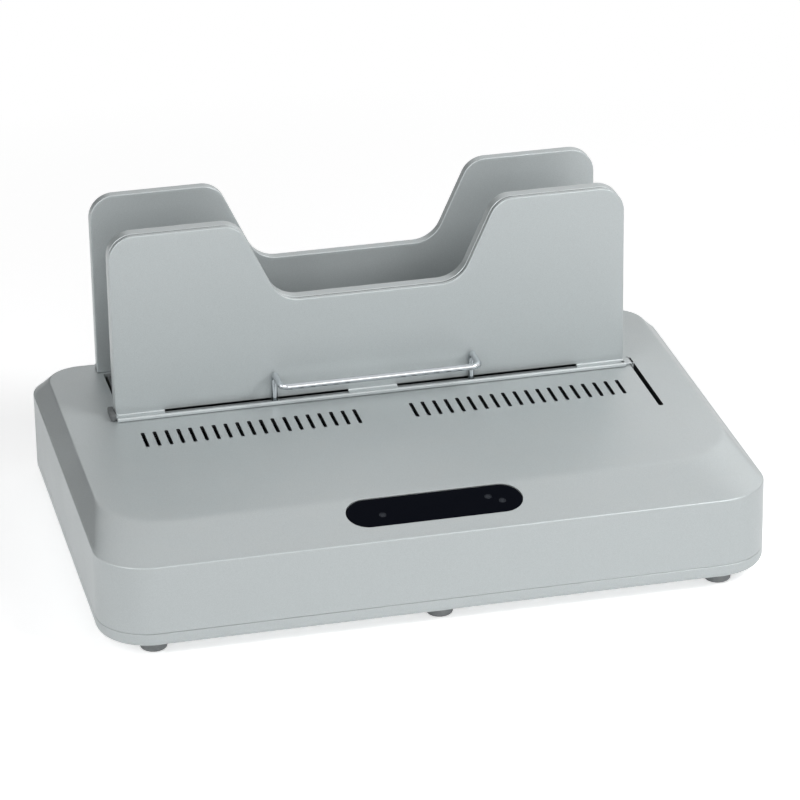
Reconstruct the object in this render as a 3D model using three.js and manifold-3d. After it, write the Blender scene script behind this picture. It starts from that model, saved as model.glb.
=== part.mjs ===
// A desk-top thermal binding machine.
//
// A low housing carries two upright supports. Covers stand between them on a
// heated plate, spine down. The rear support is fixed. The front support slides
// forward on a guide rod under the housing, pulled by its wire handle.
//
// Units are millimetres, with +Z up, +Y to the rear and +X to the right. The
// origin is on the table, under the middle of the housing.

import * as THREE from 'three';
import { mergeVertices } from 'three/addons/utils/BufferGeometryUtils.js';
import Module from 'manifold-3d';

const wasm = await Module();
wasm.setup();

// Clearances that mating pieces share.
const seatGap = 0.3;        // between two pieces that rest on or fit in each other
const overrun = 2;          // how far a cutter runs past the wall that it cuts
const root = 0.4;           // how far a boss or rib runs into the wall that carries it
const weld = 0.0001;        // points closer than this are one point

// Housing: one outline for both shells, a wall, a sloped border and a flat top.
// The margins run from the supports to the walls, and the apron lies in front.
const housing = {
  sideMargin: 42, rearMargin: 18.65, apron: 74.45, wall: 2.5, floor: 2.5,
  bottom: 8, partingHeight: 16.8, partingGap: 0.4, belowBezel: 6.7, aboveBezel: 8.1,
  rise: 9.8, edgeInset: 1, edgeDrop: 1, sideSlope: 10.2, frontSlope: 45,
  cornerFront: 33, cornerRear: 27, topCornerFront: 44, topCornerRear: 21,
  panCorner: 4, tongueHeight: 3.4, tongueWall: 1.4,
};
// Places on the sloped border: share of its width, then share of its rise.
const slopeShares = [[1, 1], [0.93, 0.99], [0.84, 0.95], [0, 0]];
const edgeShares = [[0.3, 0.3], [0, 1]];   // inset and drop of the rounded rim

// Both supports have one outline, and the covers stand in the channel.
const channelWidth = 57.9;
const support = {
  width: 330, height: 120.7, floorHeight: 67.3, skin: 1.2,
  notchTop: 165.4, notchFloor: 115.6, tabCorner: 16, notchCorner: 20, foldRadius: 1,
};
const rearSupport = { depth: 6.4, flangeReach: 12.4, flangeThickness: 1.6 };
const frontSupport = {
  faceDepth: 3, depth: 13.4, grooveWidth: 1.4,
  flangeReach: 7.7, beadWidth: 2, beadHeight: 2.5, stripHeight: 8,
};
const footSlot = { innerEnd: 15.8, endMargin: 31, reach: 5.4 };
const handle = { radius: 2, legX: 63.9, bendRadius: 5, height: 20.1, reach: 25.9, footDrop: 0.5 };
const shoe = { width: 2.4, length: 15.4, height: 3.7, ahead: 5.3, wall: 1.1 };

// The slide under the housing: tongue, slot, carriage and rod. Drops are below
// the flat top.
const slideTravel = 64;
const slideSlot = { gap: 4.9, width: 3.2, behind: 6.4, ribWall: 1.8, ribDrop: 11.9 };
const tongue = { thickness: 1.6, length: 11.2, drop: 18.1 };
const carriage = { width: 12, length: 14.3, topDrop: 12.5, bottomDrop: 29.4 };
const guideRod = { radius: 3, drop: 23.9, bracket: 4, bracketWidth: 10, bracketDrop: 29.4, reach: 12 };

// Air slots in the flat top, in two groups.
const vent = { count: 19, width: 2.4, length: 21.4, middleGap: 36.6, endGap: 12.06, setback: 47.1 };
const airSlotMargin = 0.5;

// Heater, from the top down.
const heaterWell = { endGap: 3.5, frontGap: 0.7, rearGap: 1.8 };
const plate = { edgeGap: 2, sink: 0.8, thickness: 3.2 };
const element = { endMargin: 37.5, sideMargin: 6.7, thickness: 3.2 };
const block = { length: 12, sideMargin: 7.7, inset: 3 };
const tray = { wall: 1.2, overhang: 3.2, drop: 18.4 };
const thermostat = { radius: 6.5, capHeight: 5, baseRadius: 5.6, baseHeight: 3.6, gap: 3.5, pinLength: 2.4 };
const fuse = { radius: 2.4, length: 14, capRadius: 1.5, capLength: 3 };

// Control window in the front slope, and the board behind it.
const windowLens = {
  length: 108.8, width: 26.7, inset: 26.3, sink: 0.2, lipWidth: 3, lipTop: 3.2, lip: 1.4,
};
const controlBoard = { overhang: 12.6, width: 20, thickness: 1.6, top: 10, postInset: 5, postRadius: 3.2 };
const led = { radius: 1.5, rimRadius: 1.9, rim: 0.8 };
// Places of the lights: share of the window's half length, then of its half width.
const ledShares = { led_power: [-0.6, -0.22], led_ready: [0.62, 0.2], led_cooling: [0.76, -0.18] };

// Screws: head radius, head height, shank radius, shank length.
const housingScrew = { head: 3, headHeight: 2.1, shank: 1.5, length: 15 };
const boardScrew = { head: 2.1, headHeight: 1.7, shank: 1.1, length: 6.6 };
const supportScrew = { head: 2.5, headHeight: 1.8, shank: 1.5, length: 11 };
const housingBoss = {
  radius: 4, cornerInsetX: 21, cornerInsetY: 44.25, boardGap: 11, middleInsetY: 94.25,
  panRadius: 5.5, panHeight: 4,
};
const supportBoss = { radius: 3.5, drop: 10.4, inset: 45 };

// Feet and base pan.
const foot = { radius: 8.2, chamfer: 1, insetX: 32, insetY: 17.25, stem: 2.6, barb: 3.6, barbHeight: 1.7 };
const panVent = { count: 8, pitch: 9, width: 3, length: 40, firstX: 30, setback: 124.25 };
const trayPost = { radius: 4, endInset: 5.5, frontInset: 6, rearInset: 5.4, innerX: 70 };

// Main board and its parts.
const mainBoard = {
  insetX: 37, insetY: 74.25, length: 84, width: 90, thickness: 1.6, standoff: 6,
  inset: 5, post: 3, pin: 1.1,
};
const transformer = { length: 30, width: 26, height: 20, coilLength: 24, coilWidth: 32, coilHeight: 13 };
const relay = { length: 16, width: 20, height: 15 };
const buzzer = { radius: 6, height: 9.5, hole: 1.2, holeDepth: 3 };
const capacitor = { radius: 5, height: 16, crown: 0.8 };
// Places on the main board: share of its length, then of its width.
const boardPlaceShares = {
  transformer: [0.3, 0.34], relay: [0.72, 0.22], buzzer: [0.72, 0.7], capacitor: [0.36, 0.8],
};

// Power corner in the rear wall.
const bezel = {
  insetX: 87, length: 62, height: 29, recess: 9.5, wall: 1.5, floor: 2, lipWidth: 2, lip: 1.5,
};
const inlet = {
  offset: -14, bodyLength: 27, bodyHeight: 19.8, depth: 24, flangeLength: 29.4, flangeHeight: 24,
  flange: 1.5, pocketLength: 24, pocketHeight: 16.2, pocketDepth: 16, pocketChamfer: 4,
  pinWidth: 2, pinHeight: 4, pinLength: 14.5, pinSpread: 7, pinDrop: 2, earthRise: 2,
};
const powerSwitch = {
  offset: 16, bodyLength: 12.6, bodyHeight: 18.8, depth: 15, flangeLength: 15, flangeHeight: 21,
  flange: 1.6, cavityLength: 10.4, cavityHeight: 16.6, cavityDepth: 7.2,
};
const rocker = {
  length: 9.6, height: 14.8, endRise: 3.6, middleRise: 2.6, keel: 4.5, keelHeight: 6,
  shoulder: 0.5, pivotSink: 1.7, pinRadius: 1, pinReach: 0.8, tilt: 8,
};

// Levels and places that these sizes give.
const wallTop = housing.partingHeight + housing.belowBezel + bezel.height + housing.aboveBezel;
const plateau = wallTop + housing.rise;
const supportBase = plateau + seatGap;
const sideWall = support.width / 2 + housing.sideMargin;
const channelSpan = rearSupport.depth + channelWidth + frontSupport.depth;
const apronSpan = frontSupport.flangeReach + slideTravel + housing.apron + housing.edgeInset
  + housing.frontSlope;
const rearWall = (housing.rearMargin + channelSpan + apronSpan) / 2;
const frontWall = -rearWall;
const rearFace = rearWall - housing.rearMargin - rearSupport.depth;
const frontFace = rearFace - channelWidth - frontSupport.depth;
const slotX = support.width / 2 + slideSlot.gap;
const slotRear = frontFace + slideSlot.behind;
const tongueFront = slotRear - 2 * seatGap - tongue.length;
const slotFront = tongueFront - slideTravel - 3 * seatGap;
const wellLength = support.width - 2 * heaterWell.endGap;
const wellFront = frontFace + frontSupport.depth + heaterWell.frontGap;
const wellRear = rearFace - heaterWell.rearGap;
const elementLength = wellLength - 2 * element.endMargin;
const thermostatX = elementLength / 2 + thermostat.gap + thermostat.radius;
const trayBottom = plateau - tray.drop;
const windowY = frontWall + windowLens.inset;
const controlBoardLength = windowLens.length + 2 * controlBoard.overhang;
const controlPostX = controlBoardLength / 2 - controlBoard.postInset;
const boardX = -sideWall + mainBoard.insetX;
const boardY = frontWall + mainBoard.insetY;
const boardZ = housing.bottom + housing.floor + mainBoard.standoff;
const bezelX = -sideWall + bezel.insetX;
const bezelZ = housing.partingHeight + housing.belowBezel + bezel.height / 2;

const arcSteps = 4;
const shellArcSteps = 9;
const cornerArcSteps = 6;
const roundSides = 16;
const smallSides = 12;
const screwSides = 8;

// Colours and finishes.
const paint = new THREE.MeshStandardMaterial({ color: 0xb4b8b8, roughness: 0.42, metalness: 0.35 });
const casing = new THREE.MeshStandardMaterial({ color: 0xaeb3b4, roughness: 0.38, metalness: 0.3 });
const rubber = new THREE.MeshStandardMaterial({ color: 0x4a4c4d, roughness: 0.9, metalness: 0 });
const chrome = new THREE.MeshStandardMaterial({ color: 0xd8dadc, roughness: 0.12, metalness: 1 });
const steel = new THREE.MeshStandardMaterial({ color: 0x9a9da0, roughness: 0.4, metalness: 0.9 });
const aluminium = new THREE.MeshStandardMaterial({ color: 0x8d9092, roughness: 0.5, metalness: 0.8 });
const blackGloss = new THREE.MeshStandardMaterial({ color: 0x0b0c12, roughness: 0.08, metalness: 0 });
const blackPlastic = new THREE.MeshStandardMaterial({ color: 0x1b1c1e, roughness: 0.5, metalness: 0 });
const greyPlastic = new THREE.MeshStandardMaterial({ color: 0x6c7072, roughness: 0.6, metalness: 0 });
const mica = new THREE.MeshStandardMaterial({ color: 0xb7a98a, roughness: 0.8, metalness: 0 });
const board = new THREE.MeshStandardMaterial({ color: 0x1f5a3a, roughness: 0.5, metalness: 0 });
const lamp = new THREE.MeshStandardMaterial({ color: 0xd8e0c8, roughness: 0.3, metalness: 0 });

// Turns a closed geometry into a solid that can be joined and cut.
function solid(geometry) {
  const bare = geometry.clone();
  bare.deleteAttribute('normal');
  bare.deleteAttribute('uv');
  const merged = mergeVertices(bare, weld);
  const vertProperties = new Float32Array(merged.attributes.position.array);
  const triVerts = new Uint32Array(merged.index.array);
  return new wasm.Manifold(new wasm.Mesh({ numProp: 3, vertProperties, triVerts }));
}

function geometryOf(body) {
  const mesh = body.getMesh();
  const geometry = new THREE.BufferGeometry();
  geometry.setAttribute('position', new THREE.BufferAttribute(mesh.vertProperties, 3));
  geometry.setIndex(new THREE.BufferAttribute(mesh.triVerts, 1));
  return geometry;
}

// Joins the first list of solids and cuts the second list out.
function build(parts, cuts = []) {
  const joined = parts.reduce((whole, part) => whole.add(part));
  return cuts.reduce((whole, cut) => whole.subtract(cut), joined);
}

function named(name, body, material) {
  const geometry = body.isBufferGeometry ? body : geometryOf(body);
  const mesh = new THREE.Mesh(geometry, material);
  mesh.name = name;
  return mesh;
}

// A block between two values on each axis.
function span([x0, x1], [y0, y1], [z0, z1]) {
  const geometry = new THREE.BoxGeometry(x1 - x0, y1 - y0, z1 - z0);
  return solid(geometry.translate((x0 + x1) / 2, (y0 + y1) / 2, (z0 + z1) / 2));
}

// A flat outline swept from one value to another along an axis. The outline is
// drawn in the two other axes: XY for z, XZ for y and YZ for x.
function sweep(axis, outline, from, to) {
  const shape = new THREE.Shape(outline.map(([a, b]) => new THREE.Vector2(a, b)));
  const geometry = new THREE.ExtrudeGeometry(shape, { depth: to - from, bevelEnabled: false });
  if (axis === 'y') {
    geometry.rotateX(Math.PI / 2).translate(0, to, 0);
  } else if (axis === 'x') {
    const basis = new THREE.Matrix4().makeBasis(
      new THREE.Vector3(0, 1, 0), new THREE.Vector3(0, 0, 1), new THREE.Vector3(1, 0, 0));
    geometry.applyMatrix4(basis).translate(from, 0, 0);
  } else {
    geometry.translate(0, 0, from);
  }
  return solid(geometry);
}

function circle(a, b, radius, sides = roundSides) {
  return Array.from({ length: sides }, (_, i) => {
    const angle = ((i + 0.5) / sides) * 2 * Math.PI;
    return [a + radius * Math.cos(angle), b + radius * Math.sin(angle)];
  });
}

// Points of an arc from one angle to another, in degrees.
function arc(a, b, radius, from, to, steps = arcSteps) {
  return Array.from({ length: steps + 1 }, (_, i) => {
    const angle = THREE.MathUtils.degToRad(from + ((to - from) * i) / steps);
    return [a + radius * Math.cos(angle), b + radius * Math.sin(angle)];
  });
}

// A rectangle with round corners, centred on a point.
function roundedRectangle(a, b, length, width, radius, steps = arcSteps) {
  const u = length / 2 - radius;
  const v = width / 2 - radius;
  return [
    ...arc(a + u, b + v, radius, 0, 90, steps),
    ...arc(a - u, b + v, radius, 90, 180, steps),
    ...arc(a - u, b - v, radius, 180, 270, steps),
    ...arc(a + u, b - v, radius, 270, 360, steps),
  ];
}

function stadium(length, width) {
  return roundedRectangle(0, 0, length, width, width / 2, shellArcSteps);
}

// Rounds each corner of a closed outline: a point is [a, b, radius].
function filleted(points, steps = arcSteps) {
  const result = [];
  points.forEach(([a, b, radius], i) => {
    const corner = new THREE.Vector2(a, b);
    if (!radius) {
      result.push([a, b]);
      return;
    }
    const before = points[(i + points.length - 1) % points.length];
    const after = points[(i + 1) % points.length];
    const inward = new THREE.Vector2(before[0] - a, before[1] - b).normalize();
    const outward = new THREE.Vector2(after[0] - a, after[1] - b).normalize();
    const half = Math.acos(THREE.MathUtils.clamp(inward.dot(outward), -1, 1)) / 2;
    const bisector = inward.clone().add(outward).normalize();
    const centre = bisector.multiplyScalar(radius / Math.sin(half)).add(corner);
    const start = corner.clone().addScaledVector(inward, radius / Math.tan(half)).sub(centre);
    const turn = Math.PI - 2 * half;
    const side = Math.sign(inward.cross(outward));
    for (let k = 0; k <= steps; k += 1) {
      const point = start.clone().rotateAround(new THREE.Vector2(), (-side * turn * k) / steps).add(centre);
      result.push([point.x, point.y]);
    }
  });
  return result;
}

// Closes a chain of rings with equal counts, and caps its two ends.
function loft(rings) {
  const count = rings[0].length;
  const vertices = rings.flat().flatMap(point => point.toArray());
  const faces = [];
  for (let k = 0; k + 1 < rings.length; k += 1) {
    for (let i = 0; i < count; i += 1) {
      const j = (i + 1) % count;
      const [a, b] = [k * count, (k + 1) * count];
      faces.push(b + i, b + j, a + j, b + i, a + j, a + i);
    }
  }
  const last = (rings.length - 1) * count;
  for (let i = 1; i + 1 < count; i += 1) {
    faces.push(0, i, i + 1, last, last + i + 1, last + i);
  }
  const geometry = new THREE.BufferGeometry();
  geometry.setAttribute('position', new THREE.Float32BufferAttribute(vertices, 3));
  geometry.setIndex(faces);
  return solid(geometry);
}

// A closed profile of radius and height, turned round the z axis.
function lathe(profile, sides) {
  const points = profile.map(([radius, z]) => new THREE.Vector2(radius, z));
  return new THREE.LatheGeometry(points, sides).rotateX(Math.PI / 2);
}

// A round bar or drill along z.
function roundBar(x, y, radius, [from, to], sides = smallSides) {
  return sweep('z', circle(x, y, radius, sides), from, to);
}

// A screw on the z axis: its head sits below z = 0 and its shank runs up.
function screwGeometry({ head, headHeight, shank, length }) {
  const slot = headHeight / 3;
  const profile = [[0, -headHeight + slot], [head * 0.35, -headHeight + slot], [head * 0.45, -headHeight],
    [head * 0.85, -headHeight], [head, -headHeight * 0.7], [head, 0], [shank, 0], [shank, length - shank],
    [shank * 0.4, length], [0, length]];
  return lathe(profile, screwSides);
}

// One level ring of the housing, inset from its outer faces.
function housingRing(side, front, z, cornerFront, cornerRear) {
  const x = sideWall - side;
  const rear = rearWall - side;
  const near = frontWall + front;
  const corners = [
    [x - cornerRear, rear - cornerRear, cornerRear, 0],
    [-x + cornerRear, rear - cornerRear, cornerRear, 90],
    [-x + cornerFront, near + cornerFront, cornerFront, 180],
    [x - cornerFront, near + cornerFront, cornerFront, 270],
  ];
  return corners.flatMap(([a, b, radius, from]) => arc(a, b, radius, from, from + 90, shellArcSteps))
    .map(([a, b]) => new THREE.Vector3(a, b, z));
}

const lerp = THREE.MathUtils.lerp;
const coverBottom = housing.partingHeight + housing.partingGap / 2;
const panTop = housing.partingHeight - housing.partingGap / 2;
const floorTop = housing.bottom + housing.floor;
const ceiling = plateau - housing.wall;
const innerRearWall = rearWall - housing.wall;
const [, , slopeBreak] = slopeShares;
const slopeAngle = Math.atan2(slopeBreak[1] * housing.rise, slopeBreak[0] * housing.frontSlope);
const lensHeight = wallTop + (windowLens.inset - housing.edgeInset) * Math.tan(slopeAngle);
const rearFlangeTop = supportBase + rearSupport.flangeThickness;
const postTop = trayBottom - seatGap;
const bossBottom = floorTop + housingBoss.panHeight + seatGap;
const screwSeat = floorTop + housingBoss.panHeight - housingScrew.headHeight - seatGap;
const cornerBossX = sideWall - housingBoss.cornerInsetX;
const cornerBossY = rearWall - housingBoss.cornerInsetY;
const middleBossX = -(boardX + mainBoard.length + housingBoss.boardGap);
const screwPlaces = [[-1, -1], [1, -1], [-1, 1], [1, 1]]
  .map(([i, j]) => [i * cornerBossX, j * cornerBossY])
  .concat([-1, 1].map(i => [i * middleBossX, frontWall + housingBoss.middleInsetY]));
const supportBossX = support.width / 2 - supportBoss.inset;
const supportBossY = rearFace + (rearSupport.depth + rearSupport.flangeReach) / 2;
const supportScrewPlaces = [-1, 0, 1].map(i => [i * supportBossX, supportBossY]);

// Places something made in the window's own frame: x along it, y up the slope
// and z out of it.
const windowFrame = new THREE.Matrix4().makeTranslation(0, windowY, lensHeight)
  .multiply(new THREE.Matrix4().makeRotationX(slopeAngle));
const inWindow = body => solid(geometryOf(body).applyMatrix4(windowFrame));

const ventPitch = (support.width / 2 - vent.endGap - vent.middleGap / 2) / (vent.count - 1);
const ventPlaces = [];
for (const side of [-1, 1]) {
  for (let i = 0; i < vent.count; i += 1) {
    ventPlaces.push(side * (vent.middleGap / 2 + i * ventPitch));
  }
}

function makeTopCover() {
  const outer = slopeShares.map(([inset, rise]) => housingRing(
    housing.edgeInset + inset * housing.sideSlope,
    housing.edgeInset + inset * housing.frontSlope,
    wallTop + rise * housing.rise,
    lerp(housing.cornerFront - housing.edgeInset, housing.topCornerFront, inset),
    lerp(housing.cornerRear - housing.edgeInset, housing.topCornerRear, inset)));
  for (const [inset, drop] of edgeShares) {
    const margin = inset * housing.edgeInset;
    outer.push(housingRing(margin, margin, wallTop - drop * housing.edgeDrop,
      housing.cornerFront - margin, housing.cornerRear - margin));
  }
  outer.push(housingRing(0, 0, coverBottom, housing.cornerFront, housing.cornerRear));
  const wall = housing.wall;
  const inner = [coverBottom, wallTop - wall].map(z =>
    housingRing(wall, wall, z, housing.cornerFront - wall, housing.cornerRear - wall));
  for (const [inset, rise] of [slopeBreak, slopeShares[0]]) {
    inner.push(housingRing(
      housing.edgeInset + inset * housing.sideSlope + wall / 2,
      housing.edgeInset + inset * housing.frontSlope + wall / 2,
      wallTop + rise * housing.rise - wall,
      lerp(housing.cornerFront - housing.edgeInset, housing.topCornerFront, inset) - wall / 2,
      lerp(housing.cornerRear - housing.edgeInset, housing.topCornerRear, inset) - wall / 2));
  }
  const shell = loft([...outer, ...inner]);

  const bosses = screwPlaces.map(([x, y]) =>
    roundBar(x, y, housingBoss.radius, [bossBottom, ceiling + root]));
  for (const [x, y] of supportScrewPlaces) {
    bosses.push(roundBar(x, y, supportBoss.radius, [plateau - supportBoss.drop, ceiling + root]));
  }
  for (const side of [-1, 1]) {
    const post = roundBar(side * controlPostX, 0, controlBoard.postRadius,
      [-controlBoard.top + seatGap, -housing.wall + root]);
    bosses.push(inWindow(post));
  }
  const slotSides = centred(slotX, slideSlot.width);
  const ribY = [slotFront - slideSlot.ribWall, slotRear + slideSlot.ribWall];
  const ribZ = [plateau - slideSlot.ribDrop, ceiling + root];
  bosses.push(
    span([slotSides[0] - slideSlot.ribWall, slotSides[0]], ribY, ribZ),
    span([slotSides[1], slotSides[1] + slideSlot.ribWall], ribY, ribZ));
  for (const y of rodBracketPlaces()) {
    bosses.push(span(centred(slotX, guideRod.bracketWidth), [y, y + guideRod.bracket],
      [plateau - guideRod.bracketDrop, ceiling + root]));
  }

  const cutZ = [ceiling - overrun, plateau + overrun];
  const cuts = ventPlaces.map(x =>
    span(centred(x, vent.width), [frontFace - vent.setback, frontFace - vent.setback + vent.length], cutZ));
  cuts.push(span(slotSides, [slotFront, slotRear], cutZ));
  for (const side of [-1, 1]) {
    const x = mirrored(side, footSlot.innerEnd + airSlotMargin, footSlotOuterEnd - airSlotMargin);
    cuts.push(span(x, [frontFace - footSlot.reach + airSlotMargin, frontFace - airSlotMargin], cutZ));
  }
  cuts.push(span(centred(0, wellLength), [wellFront, wellRear], cutZ));
  const pilot = housingScrew.shank + seatGap;
  for (const [x, y] of screwPlaces) {
    cuts.push(roundBar(x, y, pilot, [bossBottom - overrun, screwSeat + housingScrew.length + seatGap]));
  }
  const screwTip = rearFlangeTop - supportScrew.length;
  for (const [x, y] of supportScrewPlaces) {
    cuts.push(roundBar(x, y, supportScrew.shank + seatGap, [screwTip, plateau + overrun]));
  }
  for (const side of [-1, 1]) {
    const bore = roundBar(side * controlPostX, 0, boardScrew.shank + seatGap,
      [-controlBoard.top - overrun, boardScrew.length - controlBoard.top - controlBoard.thickness + seatGap]);
    cuts.push(inWindow(bore));
  }
  const lensOutline = stadium(windowLens.length, windowLens.width);
  cuts.push(inWindow(sweep('z', lensOutline, -windowLens.lipTop - overrun, overrun)));
  cuts.push(span(centred(bezelX, bezel.length), [innerRearWall - overrun, rearWall + overrun],
    centred(bezelZ, bezel.height)));
  const [near, far] = rodBracketPlaces();
  cuts.push(sweep('y', circle(slotX, rodZ, rodBore), near - overrun, far + guideRod.bracket + overrun));
  return build([shell, ...bosses], cuts);
}

// The two values of a length centred on a point.
function centred(middle, length) {
  return [middle - length / 2, middle + length / 2];
}

// Two values on one side of the middle, in rising order.
function mirrored(side, inner, outer) {
  return side > 0 ? [inner, outer] : [-outer, -inner];
}

const rodZ = plateau - guideRod.drop;
const rodBore = (guideRod.radius + seatGap) / Math.cos(Math.PI / roundSides);

function rodBracketPlaces() {
  return [slotFront - guideRod.reach - guideRod.bracket, slotRear + guideRod.reach];
}

function makeBasePan() {
  const wall = housing.wall;
  const ring = (inset, z) =>
    housingRing(inset, inset, z, housing.cornerFront - inset, housing.cornerRear - inset);
  const tongueOuter = wall + seatGap;
  const tongueInner = tongueOuter + housing.tongueWall;
  const tongueTop = coverBottom + housing.tongueHeight;
  const round = housing.panCorner;
  const shell = loft([
    ring(tongueInner, floorTop), ring(tongueInner, tongueTop), ring(tongueOuter, tongueTop),
    ring(tongueOuter, panTop), ring(0, panTop), ring(0, housing.bottom + round),
    ...[30, 60, 90].map(angle => THREE.MathUtils.degToRad(angle)).map(angle =>
      ring(round * (1 - Math.cos(angle)), housing.bottom + round * (1 - Math.sin(angle)))),
  ]);
  const parts = screwPlaces.map(([x, y]) =>
    roundBar(x, y, housingBoss.panRadius, [floorTop - root, floorTop + housingBoss.panHeight], roundSides));
  for (const [x, y] of trayPostPlaces()) {
    parts.push(roundBar(x, y, trayPost.radius, [floorTop - root, postTop]));
  }
  for (const [x, y] of boardPostPlaces()) {
    parts.push(roundBar(x, y, mainBoard.post, [floorTop - root, boardZ - seatGap]));
    parts.push(roundBar(x, y, mainBoard.pin, [floorTop, boardZ + mainBoard.thickness]));
  }
  const through = [housing.bottom - overrun, floorTop + overrun];
  const cuts = footPlaces().map(([x, y]) => roundBar(x, y, foot.stem + seatGap, through));
  for (const [x, y] of screwPlaces) {
    cuts.push(roundBar(x, y, housingScrew.head + seatGap, [through[0], screwSeat + seatGap], roundSides));
    cuts.push(roundBar(x, y, housingScrew.shank + seatGap, [housing.bottom, bossBottom + overrun]));
  }
  const panVentFront = rearWall - panVent.setback;
  for (const side of [-1, 1]) {
    for (let i = 0; i < panVent.count; i += 1) {
      const x = side * (panVent.firstX + i * panVent.pitch);
      cuts.push(span(centred(x, panVent.width), [panVentFront, panVentFront + panVent.length], through));
    }
  }
  return build([shell, ...parts], cuts);
}

function trayPostPlaces() {
  const outerX = wellLength / 2 - trayPost.endInset;
  const [near, far] = [wellFront + trayPost.frontInset, wellRear - trayPost.rearInset];
  return [-1, 1].flatMap(i => [[i * outerX, near], [i * trayPost.innerX, far]]);
}

function boardPostPlaces() {
  const x = [boardX + mainBoard.inset, boardX + mainBoard.length - mainBoard.inset];
  const y = [boardY + mainBoard.inset, boardY + mainBoard.width - mainBoard.inset];
  return x.flatMap(a => y.map(b => [a, b]));
}

function footPlaces() {
  const [x, y] = [sideWall - foot.insetX, rearWall - foot.insetY];
  return [-1, 1].flatMap(j => [-1, 0, 1].map(i => [i * x, j * y]));
}

function footGeometry() {
  const top = housing.bottom - seatGap;
  const barb = floorTop + seatGap;
  const tip = barb + foot.barbHeight;
  const profile = [[0, 0], [foot.radius - foot.chamfer, 0], [foot.radius, foot.chamfer], [foot.radius, top],
    [foot.stem, top], [foot.stem, barb], [foot.barb, barb], [foot.stem, tip], [0, tip]];
  return lathe(profile, roundSides);
}

// The outline of a support in XZ, drawn inside itself by an inset.
function supportOutline(inset) {
  const notchFloorZ = supportBase + support.floorHeight;
  const x = support.width / 2 - inset;
  const top = supportBase + support.height - inset;
  const bottom = supportBase + inset;
  const floor = notchFloorZ - inset;
  const run = (support.notchTop - support.notchFloor) / 2;
  const rise = support.height - support.floorHeight;
  const shift = (inset * Math.hypot(run, rise)) / rise;
  const slant = z => support.notchFloor / 2 + shift + (run * (z - notchFloorZ)) / rise;
  const convex = support.tabCorner - inset;
  const concave = support.notchCorner + inset;
  const half = [[x, bottom, 0], [x, top, convex], [slant(top), top, convex], [slant(floor), floor, concave]];
  const otherHalf = half.map(([a, b, radius]) => [-a, b, radius]).reverse();
  return filleted([...half, ...otherHalf], cornerArcSteps);
}

function makeRearSupport() {
  const { depth, flangeReach, flangeThickness } = rearSupport;
  const [front, base] = [rearFace, supportBase];
  const pan = sweep('y', supportOutline(0), front, front + depth);
  const hollow = sweep('y', supportOutline(support.skin), front + support.skin, front + depth + overrun);
  const flangeY = [front, front + flangeReach];
  const flange = span(centred(0, support.width), flangeY, [base, base + flangeThickness]);
  const fold = 2 * support.foldRadius;
  const corner = sweep('x', [[front - overrun, base - overrun], [front + fold, base - overrun],
    ...arc(front + fold, base + fold, fold, 270, 180), [front - overrun, base + fold]],
    -support.width / 2 - overrun, support.width / 2 + overrun);
  const holes = supportScrewPlaces.map(([x, y]) =>
    roundBar(x, y, supportScrew.shank + seatGap, [base - overrun, base + flangeThickness + overrun]));
  return build([pan.subtract(hollow), flange], [corner, ...holes]);
}

const flangeFront = frontFace - frontSupport.flangeReach;
const footSlotOuterEnd = support.width / 2 - footSlot.endMargin;
const shoeFront = frontFace - shoe.ahead;
function makeFrontSupport() {
  const { faceDepth, beadWidth, beadHeight, stripHeight } = frontSupport;
  const skin = support.skin;
  const deep = frontFace + faceDepth;
  const pan = sweep('y', supportOutline(0), frontFace, deep);
  const hollow = sweep('y', supportOutline(skin), frontFace + skin, deep + overrun);
  const bead = beadWidth / 2;
  const fold = support.foldRadius;
  const flangeLevel = supportBase + skin;
  const section = [
    [deep, supportBase], [deep, flangeLevel], [frontFace + skin, flangeLevel],
    [frontFace + skin, supportBase + stripHeight], [frontFace, supportBase + stripHeight],
    ...arc(frontFace - fold, flangeLevel + fold, fold, 0, -90),
    [flangeFront + beadWidth, flangeLevel],
    ...arc(flangeFront + bead, supportBase + beadHeight - bead, bead, 0, 180, 2 * arcSteps),
    [flangeFront, supportBase],
  ];
  const strip = sweep('x', section.reverse(), -support.width / 2, support.width / 2);
  const tongueX = centred(slotX, tongue.thickness);
  const end = support.width / 2;
  const arm = span([end - overrun, tongueX[1]], [tongueFront, deep], [supportBase, flangeLevel]);
  const bladeY = [tongueFront, tongueFront + tongue.length];
  const blade = span(tongueX, bladeY, [plateau - tongue.drop, flangeLevel]);
  const ear = span([-end - shoe.width, -end + skin], [shoeFront + shoe.wall, deep],
    [supportBase + shoe.wall, flangeLevel + shoe.wall]);
  const slots = [-1, 1].map(side => {
    const x = mirrored(side, footSlot.innerEnd, footSlotOuterEnd);
    return span(x, [frontFace - footSlot.reach, frontFace], [supportBase - overrun, flangeLevel + fold]);
  });
  return build([pan.subtract(hollow), strip, arm, blade, ear], slots);
}

function makeFrontSupportBack() {
  const { faceDepth, depth, grooveWidth } = frontSupport;
  const grooveDepth = support.skin + seatGap;
  const start = frontFace + grooveDepth;
  const rim = frontFace + faceDepth + grooveWidth;
  const end = frontFace + depth;
  const neck = sweep('y', supportOutline(grooveDepth), start, rim + root);
  const back = sweep('y', supportOutline(0), rim, end);
  const hollow = sweep('y', supportOutline(grooveDepth + support.skin), start - overrun, end - support.skin);
  return build([neck, back], [hollow]);
}

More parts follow.
